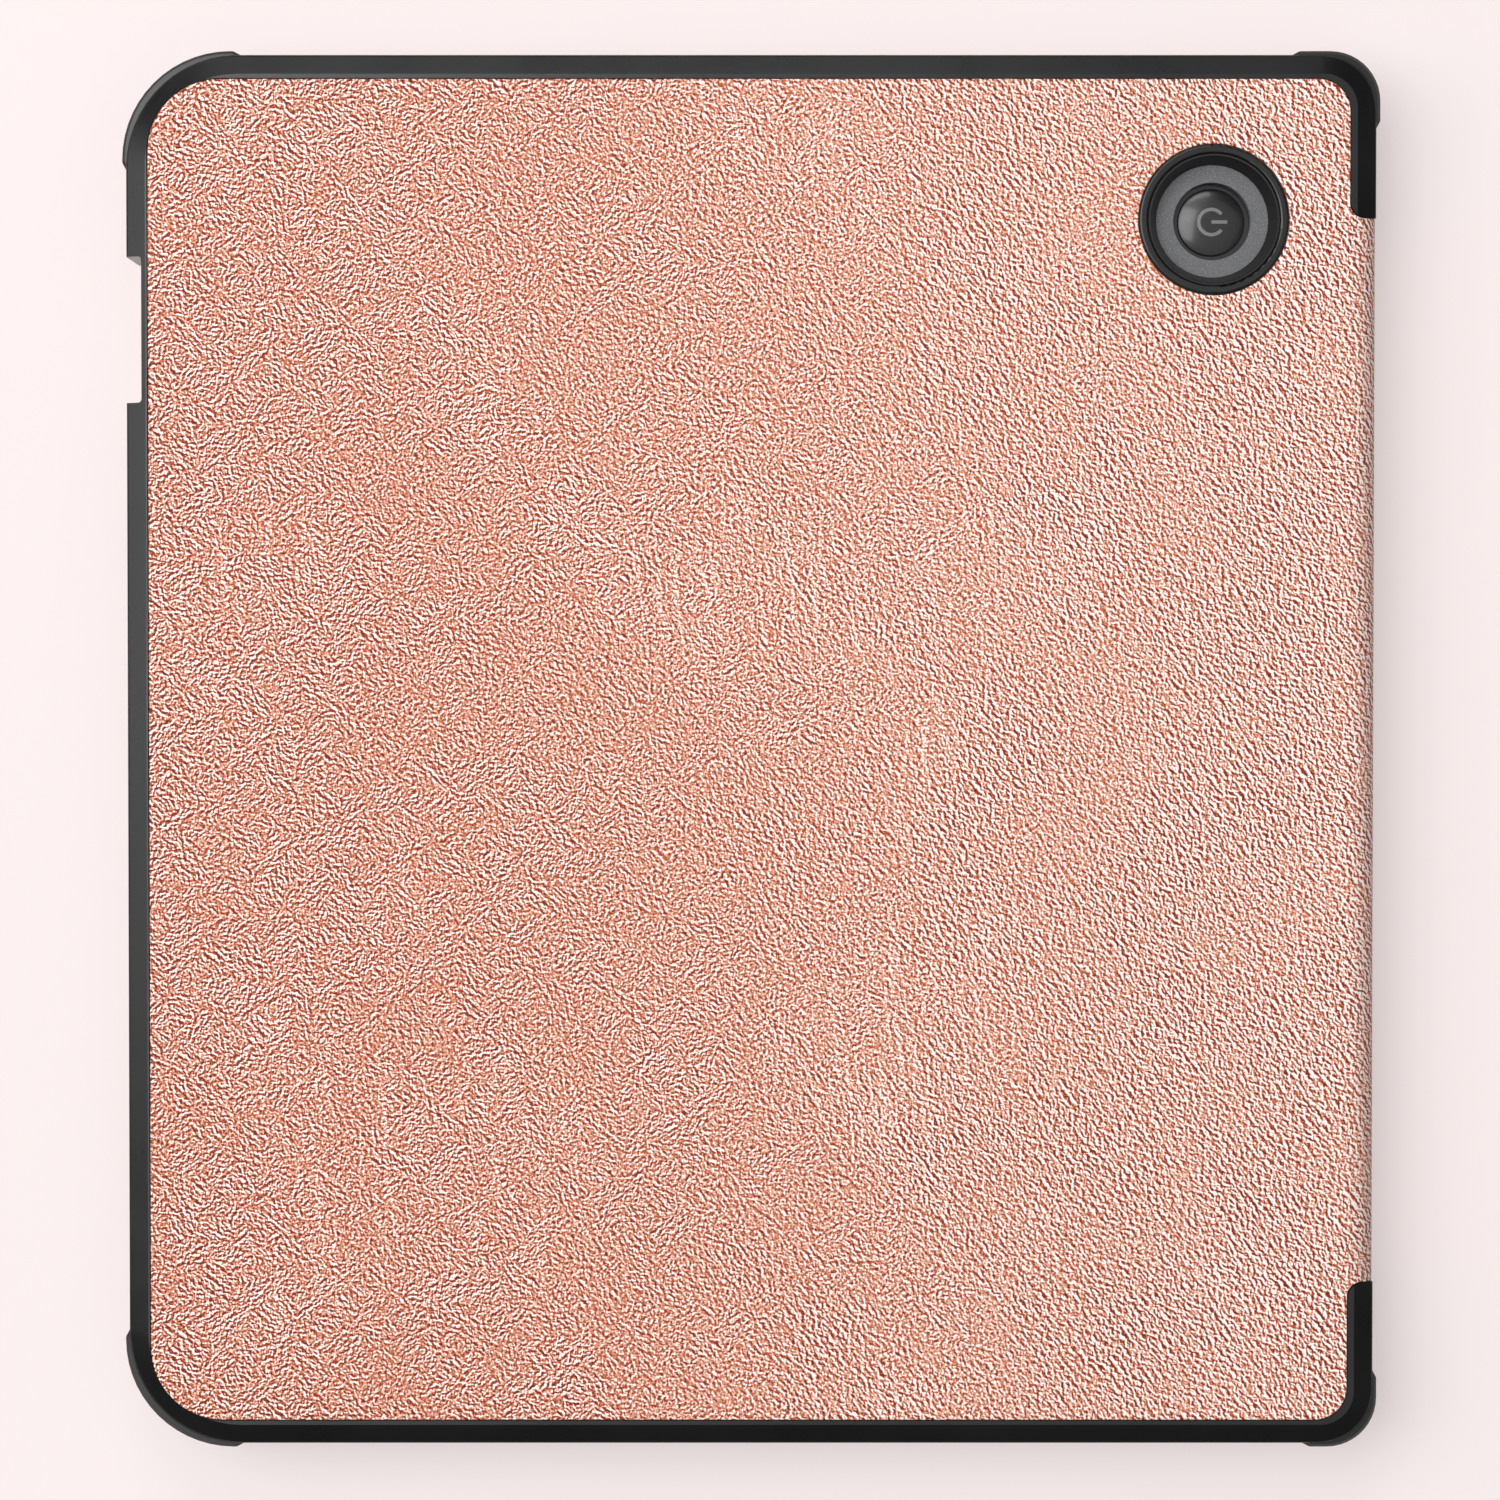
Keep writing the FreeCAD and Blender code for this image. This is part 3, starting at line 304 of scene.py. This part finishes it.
def make_cloth(name, colour, pale):
    """Short brushed microfibre."""
    paint = Material(name, {"Sheen Weight": 0.6, "Sheen Roughness": 0.5, "Roughness": 0.95})
    spot = paint.place()
    nap = paint.noise(spot, 3200.0, 2.0, 0.7)
    brushed = paint.noise(paint.turned(spot, 20.0, (0.02, 0.006, 0.02)), 1.0, 3.0)
    shade = paint.fade(nap, 0.3, 0.7, 0.0, 0.6) + paint.fade(brushed, 0.3, 0.7, 0.0, 0.4)
    return paint.feed(Base_Color=paint.mix(shade, (*colour, 1.0), (*pale, 1.0)),
                      Normal=paint.bump(nap, 0.06 * MM))


def make_gloss():
    """Polished black plastic with the faintest haze."""
    paint = Material("polished_black", {"Coat Roughness": 0.1, "Coat Weight": 0.3})
    spot = paint.place()
    haze = paint.noise(spot, 500.0, 3.0)
    return paint.feed(Base_Color=paint.mix(haze, (0.006, 0.006, 0.007, 1.0), (0.012, 0.012, 0.013, 1.0)),
                      Roughness=paint.fade(haze, 0.3, 0.8, 0.26, 0.34),
                      Normal=paint.bump(haze, 0.002 * MM))


def make_reading_panel():
    """The pale, slightly warm grey of electronic paper at rest, with its fine capsule grain."""
    paint = Material("reading_panel", {"Specular IOR Level": 0.2})
    spot = paint.place()
    capsules = paint.noise(spot, 9000.0, 1.0)
    ghost = paint.noise(spot, 40.0, 2.0)
    shade = capsules * 0.7 + ghost * 0.3
    return paint.feed(Base_Color=paint.ramp(shade, (0.3, rgb(178, 179, 173)), (0.7, rgb(197, 198, 192))),
                      Roughness=paint.fade(capsules, 0.3, 0.7, 0.55, 0.75),
                      Normal=paint.bump(capsules, 0.01 * MM))


def make_clear(name, alpha):
    """A clear layer over the reading panel, matt on its face."""
    paint = Material(name, {"Alpha": alpha, "Specular IOR Level": 0.4})
    frost = paint.noise(paint.place(), 7000.0, 2.0)
    return paint.feed(Base_Color=paint.ramp(frost, (0.3, (0.70, 0.71, 0.70)), (0.7, (0.80, 0.81, 0.80))),
                      Roughness=paint.fade(frost, 0.3, 0.7, 0.35, 0.5),
                      Normal=paint.bump(frost, 0.003 * MM))


def make_circuit_board():
    """Solder mask with tracks that show as slightly raised, lighter lines."""
    paint = Material("circuit_board", {})
    spot = paint.place()
    lanes = paint.node("ShaderNodeTexBrick", {"offset": 0.5},
                       {"Vector": spot, "Scale": 260.0, "Mortar Size": 0.06, "Mortar Smooth": 0.3,
                        "Color1": (0.0, 0.0, 0.0, 1.0), "Color2": (0.0, 0.0, 0.0, 1.0),
                        "Mortar": (1.0, 1.0, 1.0, 1.0)}, output=1)
    return paint.feed(Base_Color=paint.mix(lanes, (0.010, 0.075, 0.035, 1.0), (0.03, 0.17, 0.075, 1.0)),
                      Roughness=paint.fade(paint.noise(spot, 700.0), 0.3, 0.7, 0.3, 0.45),
                      Normal=paint.bump(lanes, 0.03 * MM))


def make_flexible_circuit():
    paint = Material("flexible_circuit", {})
    spot = paint.place()
    wires = paint.node("ShaderNodeTexWave", {"bands_direction": "X"}, {"Vector": spot, "Scale": 620.0})
    return paint.feed(Base_Color=paint.mix(wires, (0.30, 0.11, 0.02, 1.0), (0.58, 0.27, 0.07, 1.0)),
                      Roughness=paint.fade(paint.noise(spot, 300.0), 0.3, 0.7, 0.25, 0.4),
                      Normal=paint.bump(wires, 0.01 * MM))


def make_floor():
    """Pale pink acrylic lit from below, so the shadows on it stay light."""
    paint = Material("pale_floor", {"Specular IOR Level": 0.0, "Emission Strength": 0.52})
    soft = paint.noise(paint.place(), 3.0, 1.0)
    base = paint.ramp(soft, (0.2, (0.425, 0.384, 0.380)), (0.8, (0.430, 0.388, 0.384)))
    glow = paint.ramp(soft, (0.2, (0.935, 0.850, 0.842)), (0.8, (0.945, 0.862, 0.854)))
    return paint.feed(Base_Color=base, Emission_Color=glow,
                      Roughness=paint.fade(soft, 0.2, 0.8, 0.9, 1.0))


leather = make_leather()
tray_black = make_plastic("tray_black", (0.0045, 0.0045, 0.005), 0.30, 0.04, 9000.0, 0.004 * MM)
housing_grey = make_plastic("housing_grey", (0.125, 0.127, 0.132), 0.55, 0.05, 6500.0, 0.02 * MM,
                            fleck=(0.30, 0.30, 0.31))
bezel_black = make_plastic("bezel_black", (0.018, 0.018, 0.019), 0.5, 0.05, 8000.0, 0.006 * MM)
key_black = make_plastic("page_key_black", (0.022, 0.022, 0.024), 0.36, 0.04, 8000.0, 0.004 * MM)
chip_black = make_plastic("chip_black", (0.03, 0.03, 0.032), 0.5, 0.08, 4000.0, 0.01 * MM)
foam_black = make_plastic("foam_black", (0.025, 0.025, 0.025), 0.9, 0.05, 3000.0, 0.05 * MM)
board_grey = make_plastic("binders_board", (0.33, 0.29, 0.24), 0.9, 0.05, 1500.0, 0.04 * MM,
                          fleck=(0.5, 0.46, 0.4))
battery_grey = make_plastic("battery_pouch", (0.30, 0.31, 0.33), 0.38, 0.06, 900.0, 0.02 * MM)
adhesive_white = make_plastic("adhesive_sheet", (0.72, 0.71, 0.66), 0.6, 0.08, 1200.0, 0.01 * MM)
lamp_yellow = make_plastic("lamp_package", (0.80, 0.72, 0.36), 0.25, 0.05, 2500.0, 0.004 * MM)
mark_grey = make_plastic("key_mark_grey", (0.19, 0.19, 0.195), 0.45, 0.05, 5000.0, 0.003 * MM)
chassis_metal = make_metal("cast_alloy", (0.62, 0.63, 0.65), 0.42, 900.0)
bright_metal = make_metal("bright_plate", (0.78, 0.77, 0.74), 0.25, 1500.0)
polished_black = make_gloss()
lining_cloth = make_cloth("black_microfibre", (0.012, 0.011, 0.011), (0.035, 0.033, 0.033))
reading_panel = make_reading_panel()
clear_film = make_clear("touch_film", 0.08)
clear_guide = make_clear("light_guide", 0.01)
circuit_board = make_circuit_board()
flexible_circuit = make_flexible_circuit()

FINISHES = {
    "case_tray": tray_black,
    "rear_housing": housing_grey,
    "front_bezel": bezel_black,
    "bezel_seal": foam_black,
    "page_button_upper": key_black,
    "page_button_lower": key_black,
    "power_switch": bright_metal,
    "page_switches": bright_metal,
    "page_button_board": circuit_board,
    "mainboard": circuit_board,
    "touch_film": clear_film,
    "light_guide": clear_guide,
    "epaper_panel": reading_panel,
    "display_foam": foam_black,
    "light_strip": lamp_yellow,
    "status_light": lamp_yellow,
    "chassis": chassis_metal,
    "chassis_screws": bright_metal,
    "display_ribbon": flexible_circuit,
    "touch_ribbon": flexible_circuit,
    "page_button_ribbon": flexible_circuit,
    "antenna": flexible_circuit,
    "ribbon_sockets": chip_black,
    "processor": chip_black,
    "system_memory": chip_black,
    "storage_memory": chip_black,
    "power_chip": chip_black,
    "hall_sensor": chip_black,
    "port_tongue": chip_black,
    "battery_lead": chip_black,
    "processor_shield": bright_metal,
    "wireless_module": bright_metal,
    "port_shell": bright_metal,
    "battery_adhesive": adhesive_white,
    "battery_cell": battery_grey,
    "front_board": board_grey,
    "spine_stiffener": board_grey,
    "closure_magnets": bright_metal,
    "sleep_magnet": bright_metal,
    "front_leather": leather,
    "spine_leather": leather,
    "back_leather": leather,
    "front_lining": lining_cloth,
    "spine_lining": lining_cloth,
    "power_button": polished_black,
}


def dress_frame():
    """Give every node of the frame its finish."""
    for name, finish in FINISHES.items():
        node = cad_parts[name]
        node.data.materials.clear()
        node.data.materials.append(finish)


# ---- mesh helpers ----

def finish_piece(name, bm, material, body=None, replaces=(), crease=35.0):
    """Turn a bmesh into an object, smooth except at its creases, attach it to its body if it has one, and
    hide the frame's parts that it replaces.
    """
    bmesh.ops.recalc_face_normals(bm, faces=bm.faces[:])
    for face in bm.faces:
        face.smooth = True
    for edge in bm.edges:
        edge.smooth = not (edge.is_manifold and edge.calc_face_angle() > math.radians(crease))
    mesh = bpy.data.meshes.new(name)
    bm.to_mesh(mesh)
    bm.free()
    piece = bpy.data.objects.new(name, mesh)
    bpy.context.collection.objects.link(piece)
    mesh.materials.append(material)
    if body:
        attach(piece, body)
    if replaces:
        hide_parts(*replaces)
    return piece


def flat_outline(corners, segments=14):
    """A flat face with rounded corners, from (u, y, radius) corners."""
    bm = bmesh.new()
    verts = [bm.verts.new((u, y, 0.0)) for u, y, radius in corners]
    bm.faces.new(verts)
    for vert, (u, y, radius) in zip(verts, corners):
        if radius:
            bmesh.ops.bevel(bm, geom=[vert], offset=radius, offset_type="OFFSET", affect="VERTICES",
                            segments=segments, profile=0.5, material=-1, clamp_overlap=False)
    return bm


def slice_sheet(bm, axis, places):
    """Cut the sheet across at each place along an axis."""
    normal = Vector((1.0, 0.0, 0.0)) if axis == 0 else Vector((0.0, 1.0, 0.0))
    for place in places:
        geometry = bm.verts[:] + bm.edges[:] + bm.faces[:]
        bmesh.ops.bisect_plane(bm, geom=geometry, plane_co=normal * place, plane_no=normal)


def faces_within(bm, x, y, half):
    """The faces whose middles lie in a square about a point."""
    middles = [(face, face.calc_center_median()) for face in bm.faces]
    return [face for face, middle in middles if abs(middle.x - x) < half and abs(middle.y - y) < half]


def punch_hole(bm, x, y, radius, margin=2.0 * MM, segments=96):
    """Open a round hole: a square face about it is swapped for a ring between the square and a circle."""
    half = radius + margin
    slice_sheet(bm, 0, (x - half, x + half))
    slice_sheet(bm, 1, (y - half, y + half))
    inside = faces_within(bm, x, y, half)
    rim = [edge for face in inside for edge in face.edges]
    bmesh.ops.subdivide_edges(bm, edges=list(dict.fromkeys(rim)), cuts=segments // 4 - 1)
    inside = faces_within(bm, x, y, half)
    square = inside[0].edges[:]
    bmesh.ops.delete(bm, geom=inside, context="FACES_ONLY")
    turned = Matrix.Translation((x, y, 0.0)) @ Matrix.Rotation(math.pi / 4, 4, "Z")
    made = bmesh.ops.create_circle(bm, cap_ends=False, segments=segments, radius=radius, matrix=turned)
    circle = list(dict.fromkeys(edge for vert in made["verts"] for edge in vert.link_edges))
    bmesh.ops.bridge_loops(bm, edges=square + circle)


def thicken(bm, thickness, outer_round, inner_round=0.0, rounds=4):
    """Give the sheet its depth below z = 0 and round its edges, all but the joined one on the spine."""
    bmesh.ops.recalc_face_normals(bm, faces=bm.faces[:])
    if sum(face.normal.z * face.calc_area() for face in bm.faces) < 0:
        bmesh.ops.reverse_faces(bm, faces=bm.faces[:])
    bmesh.ops.solidify(bm, geom=bm.faces[:], thickness=thickness)
    top = max(vert.co.z for vert in bm.verts)
    bmesh.ops.translate(bm, verts=bm.verts[:], vec=(0.0, 0.0, -top))
    for level, size in ((0.0, outer_round), (-thickness, inner_round)):
        if size:
            rim = [edge for edge in bm.edges if len(edge.link_faces) == 2
                   and edge.calc_face_angle() > math.radians(80)
                   and all(abs(vert.co.z - level) < 1e-7 for vert in edge.verts)
                   and not all(abs(vert.co.x - MID_U) < 2 * SEAM_GAP for vert in edge.verts)]
            bmesh.ops.bevel(bm, geom=rim, offset=size, offset_type="OFFSET", affect="EDGES",
                            segments=rounds, profile=0.5, material=-1, clamp_overlap=True)


def keep_flat_map(bm, flipped=False):
    """Store the flat position as the UV map, so that the grain follows the folds and edges."""
    layer = bm.loops.layers.uv.new("flat")
    bm.normal_update()
    for face in bm.faces:
        for loop in face.loops:
            u, y, z = loop.vert.co - loop.vert.normal * loop.vert.co.z
            loop[layer].uv = (2 * MID_U - u if flipped else u, y)


def fold(u, y, depth):
    """Where a point of the flat back cover lies once it is wrapped round the spine."""
    if u <= STRAIGHT:
        return Vector((u, y, BACK_Z - depth))
    turn = min((u - STRAIGHT) / FOLD_RADIUS, math.pi / 2)
    reach = FOLD_RADIUS - depth
    past = max(u - FOLD_END, 0.0)
    height = BACK_Z - FOLD_RADIUS + reach * math.cos(turn) - past
    return Vector((STRAIGHT + reach * math.sin(turn), y, height))


def fold_sheet(bm, lower=False):
    """Wrap the sheet round the upper fold, or round the lower one, which mirrors it."""
    for vert in bm.verts:
        u, y, z = vert.co
        place = fold(u, y, -z)
        if lower:
            place.z = BACK_Z - place.z
        vert.co = place


def fold_slices():
    """Where the sheet is cut so that it bends smoothly."""
    return [STRAIGHT + (FOLD_END - STRAIGHT) * step / FOLD_STEPS for step in range(FOLD_STEPS + 1)]


# ---- leather ----

def make_back_skin():
    """The back panel, which turns over the tray's edge and runs down to the middle of the spine."""
    strip = SPINE_X - STRIP_INSET
    low_x = BACK_LOW[0]
    end = BACK_HIGH[1]
    seam = MID_U - SEAM_GAP
    bm = flat_outline([(low_x, -end, BACK_GRIP_ROUND), (strip, -end, BACK_SPINE_ROUND),
                       (strip, -SPINE_HALF, STRIP_ROUND), (seam, -SPINE_HALF, 0.0),
                       (seam, SPINE_HALF, 0.0), (strip, SPINE_HALF, STRIP_ROUND),
                       (strip, end, BACK_SPINE_ROUND), (low_x, end, BACK_GRIP_ROUND)])
    slice_sheet(bm, 0, fold_slices())
    punch_hole(bm, KEY_X, KEY_Y, COLLAR_HOLE)
    thicken(bm, LEATHER - 0.01 * MM, 0.22 * MM)
    keep_flat_map(bm)
    fold_sheet(bm)
    skin = finish_piece("back_leather_skin", bm, leather,
                        replaces=("back_leather", "spine_leather"))
    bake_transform(skin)


def cover_depth(u, deep, shallow):
    """The covers are thick where they hold the board and thin where they fold."""
    share = min(max((u - (STRAIGHT - TAPER_SETBACK)) / TAPER_LENGTH, 0.0), 1.0)
    eased = share * share * (3 - 2 * share)
    return deep + (shallow - deep) * eased


def taper_slices():
    """Where the sheet is cut so that its depth changes smoothly beside the fold."""
    steps = range(TAPER_STEPS + 1)
    return [STRAIGHT - TAPER_SETBACK + TAPER_LENGTH * step / TAPER_STEPS for step in steps]


def make_front_skin():
    """The front cover's leather, thick over its board, from the free edge to mid-spine."""
    low_x = FRONT_LOW[0]
    end = FRONT_HIGH[1]
    seam = MID_U - SEAM_GAP
    bm = flat_outline([(low_x, -end, FRONT_GRIP_ROUND), (STRAIGHT, -end, FRONT_SPINE_ROUND),
                       (STRAIGHT, -SPINE_HALF, 0.0), (seam, -SPINE_HALF, 0.0),
                       (seam, SPINE_HALF, 0.0), (STRAIGHT, SPINE_HALF, 0.0),
                       (STRAIGHT, end, FRONT_SPINE_ROUND), (low_x, end, FRONT_GRIP_ROUND)])
    slice_sheet(bm, 0, taper_slices())
    slice_sheet(bm, 0, fold_slices()[1:])
    thicken(bm, LEATHER, 0.38 * MM, 0.2 * MM)
    for vert in bm.verts:
        if vert.co.z < -LEATHER / 2:
            vert.co.z -= cover_depth(vert.co.x, COVER_DEPTH, LEATHER) - LEATHER
    keep_flat_map(bm, flipped=True)
    fold_sheet(bm, lower=True)
    skin = finish_piece("front_leather_skin", bm, leather,
                        replaces=("front_leather", "spine_leather"))
    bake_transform(skin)


def make_front_lining():
    """The microfibre inside the front cover, which runs on over the fold to the middle of the spine."""
    low_x = FRONT_LOW[0] + LINING_BORDER
    end = FRONT_HIGH[1] - LINING_BORDER
    wing = STRAIGHT - LINING_BORDER
    half = SPINE_HALF - LINING_BORDER
    seam = MID_U - SEAM_GAP
    grip_round = FRONT_GRIP_ROUND - LINING_BORDER
    spine_round = FRONT_SPINE_ROUND - LINING_BORDER
    bm = flat_outline([(low_x, -end, grip_round), (wing, -end, spine_round),
                       (wing, -half, LINING_CORNER), (seam, -half, 0.0),
                       (seam, half, 0.0), (wing, half, LINING_CORNER),
                       (wing, end, spine_round), (low_x, end, grip_round)])
    slice_sheet(bm, 0, taper_slices())
    slice_sheet(bm, 0, fold_slices())
    bmesh.ops.recalc_face_normals(bm, faces=bm.faces[:])
    thicken(bm, LINING, 0.0, LINING_EDGE, 2)
    for vert in bm.verts:
        vert.co.z -= cover_depth(vert.co.x, COVER_DEPTH, SPINE_LINING_DEPTH)
    fold_sheet(bm, lower=True)
    lining = finish_piece("front_lining_skin", bm, lining_cloth,
                          replaces=("front_lining", "spine_lining"))
    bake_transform(lining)


def make_spine_lining():
    """The strip of lining from the middle of the spine up to the tray's open edge."""
    half = SPINE_HALF - LINING_BORDER
    start = STRAIGHT - 0.3 * MM
    seam = MID_U - SEAM_GAP
    bm = flat_outline([(start, -half, 0.0), (seam, -half, 0.0), (seam, half, 0.0), (start, half, 0.0)])
    slice_sheet(bm, 0, fold_slices())
    thicken(bm, LINING, 0.0, LINING_EDGE, 2)
    bmesh.ops.translate(bm, verts=bm.verts[:], vec=(0.0, 0.0, -SPINE_LINING_DEPTH))
    fold_sheet(bm)
    lining = finish_piece("spine_lining_skin", bm, lining_cloth,
                          replaces=("spine_lining",))
    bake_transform(lining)


# ---- power key ----

CAP_RADIUS = 4.0 * MM
CAP_EDGE_DROP = 0.62 * MM
CROWN_POWER = 2.6
MARK_RADIUS = 1.5 * MM
MARK_STROKE = 0.40 * MM
MARK_GAP = 38.0
MARK_BAR_HALF = 0.95 * MM
MARK_LIFT = 0.012 * MM
MARK_DEPTH = 0.02 * MM
STEM_RADIUS = 1.5 * MM
FLANGE_RADIUS = 5.15 * MM
FLANGE_LOW = 0.2 * MM
FLANGE_TOP = 0.7 * MM
CAP_BEVEL = 0.12 * MM
CROWN_STEPS = 14
CROWN_SHARE = 0.985


def dome_height(radius):
    """The height of the key's crown above its edge, at a distance from the middle."""
    share = min(radius / CAP_RADIUS, 1.0)
    return CAP_EDGE_DROP * (1 - share ** CROWN_POWER)


def make_power_key():
    """A convex polished key on the flange that keeps it in the housing."""
    top = KEY_HIGH[2]
    low = KEY_LOW[2]
    edge = top - CAP_EDGE_DROP
    bm = bmesh.new()
    profile = [(0.0, low), (STEM_RADIUS, low), (STEM_RADIUS, low + FLANGE_LOW),
               (FLANGE_RADIUS, low + FLANGE_LOW), (FLANGE_RADIUS, low + FLANGE_TOP),
               (CAP_RADIUS, low + FLANGE_TOP), (CAP_RADIUS, edge - CAP_BEVEL)]
    for step in range(CROWN_STEPS + 1):
        radius = CAP_RADIUS * (1 - (step / CROWN_STEPS) ** 1.5) * CROWN_SHARE
        profile.append((radius, edge + dome_height(radius)))
    verts = [bm.verts.new((radius, 0.0, height)) for radius, height in profile]
    for first, second in zip(verts, verts[1:]):
        bm.edges.new((first, second))
    bmesh.ops.spin(bm, geom=bm.verts[:] + bm.edges[:], axis=(0, 0, 1), cent=(0, 0, 0), angle=math.tau,
                   steps=96, use_merge=True)
    bmesh.ops.remove_doubles(bm, verts=bm.verts[:], dist=1e-6)
    bmesh.ops.translate(bm, verts=bm.verts[:], vec=(KEY_X, KEY_Y, 0.0))
    finish_piece("power_key", bm, polished_black, "power_button", ("power_button",),
                 crease=50.0)


def make_power_mark():
    """The usual mark for power, an open ring and a bar, on the key's crown and turned to the right."""
    bm = bmesh.new()
    inner = MARK_RADIUS - MARK_STROKE / 2
    outer = MARK_RADIUS + MARK_STROKE / 2
    start = math.radians(MARK_GAP)
    ray = Vector((math.cos(start), math.sin(start), 0.0))
    verts = [bm.verts.new(ray * (inner + (outer - inner) * step / 4)) for step in range(5)]
    for first, second in zip(verts, verts[1:]):
        bm.edges.new((first, second))
    bmesh.ops.spin(bm, geom=bm.verts[:] + bm.edges[:], axis=(0, 0, 1), cent=(0, 0, 0),
                   angle=math.tau - 2 * start, steps=48)
    bar = bmesh.ops.create_grid(bm, x_segments=10, y_segments=3, size=1.0)
    bar_size = Vector((MARK_BAR_HALF, MARK_STROKE / 2, 1.0))
    bmesh.ops.scale(bm, verts=bar["verts"], vec=bar_size)
    bmesh.ops.translate(bm, verts=bar["verts"], vec=(MARK_BAR_HALF, 0.0, 0.0))
    edge = KEY_HIGH[2] - CAP_EDGE_DROP
    for vert in bm.verts:
        vert.co.z = edge + dome_height(vert.co.xy.length) + MARK_LIFT
    bmesh.ops.recalc_face_normals(bm, faces=bm.faces[:])
    for face in bm.faces:
        if face.normal.z < 0:
            face.normal_flip()
    bmesh.ops.solidify(bm, geom=bm.faces[:], thickness=MARK_DEPTH)
    bmesh.ops.translate(bm, verts=bm.verts[:], vec=(KEY_X, KEY_Y, 0.0))
    finish_piece("power_mark", bm, mark_grey, "power_button")


# ---- stage ----

CAMERA_DISTANCE = 0.45
CAMERA_TILT = 1.15
FRAME_WIDTH = 177.3 * MM
AIM_X = -0.14 * MM
AIM_Y = 0.2 * MM


def make_floor_plane():
    """A wide floor just under the case."""
    bm = bmesh.new()
    bmesh.ops.create_grid(bm, x_segments=1, y_segments=1, size=3.0)
    bmesh.ops.translate(bm, verts=bm.verts[:], vec=(0.0, 0.0, -0.02 * MM))
    mesh = bpy.data.meshes.new("floor")
    bm.to_mesh(mesh)
    bm.free()
    floor = bpy.data.objects.new("floor", mesh)
    bpy.context.collection.objects.link(floor)
    mesh.materials.append(make_floor())


def make_camera():
    """A camera that looks nearly straight down on the back of the case."""
    data = bpy.data.cameras.new("camera")
    data.sensor_width = 36.0
    data.lens = 36.0 * CAMERA_DISTANCE / FRAME_WIDTH
    data.clip_start = 0.01
    camera = bpy.data.objects.new("camera", data)
    bpy.context.collection.objects.link(camera)
    tilt = math.radians(CAMERA_TILT)
    target = Vector((AIM_X, AIM_Y, TRAY_TOP))
    camera.location = target + Vector((0.0, math.sin(tilt), math.cos(tilt))) * CAMERA_DISTANCE
    camera.rotation_euler = (-tilt, 0.0, 0.0)
    bpy.context.scene.camera = camera


def add_light(name, place, size, power):
    """A rectangular soft light that faces the case."""
    data = bpy.data.lights.new(name, "AREA")
    data.shape = "RECTANGLE"
    data.size, data.size_y = size
    data.energy = power
    light = bpy.data.objects.new(name, data)
    light.location = place
    light.rotation_euler = (-Vector(place)).to_track_quat("-Z", "Y").to_euler()
    bpy.context.collection.objects.link(light)


def make_lights():
    """Soft boxes at the left, above and at the top, and a weak strip at the right."""
    world = bpy.data.worlds.new("studio")
    world.use_nodes = True
    world.node_tree.nodes["Background"].inputs["Color"].default_value = (1.0, 0.99, 0.985, 1.0)
    world.node_tree.nodes["Background"].inputs["Strength"].default_value = 0.12
    bpy.context.scene.world = world
    add_light("main_softbox", (-0.72, 0.24, 1.40), (1.1, 1.1), 17.5)
    add_light("overhead_fill", (0.1, -0.05, 1.80), (2.6, 2.6), 13.0)
    add_light("left_strip", (-0.78, 0.12, 0.62), (0.5, 0.25), 1.2)
    add_light("top_softbox", (-0.15, 0.75, 0.75), (0.6, 0.3), 2.7)
    add_light("right_strip", (0.80, -0.25, 0.25), (0.6, 0.10), 0.06)


dress_frame()
make_back_skin()
make_front_skin()
make_front_lining()
make_spine_lining()
make_power_key()
make_power_mark()
make_floor_plane()
make_camera()
make_lights()
bpy.context.scene.view_settings.view_transform = "Standard"
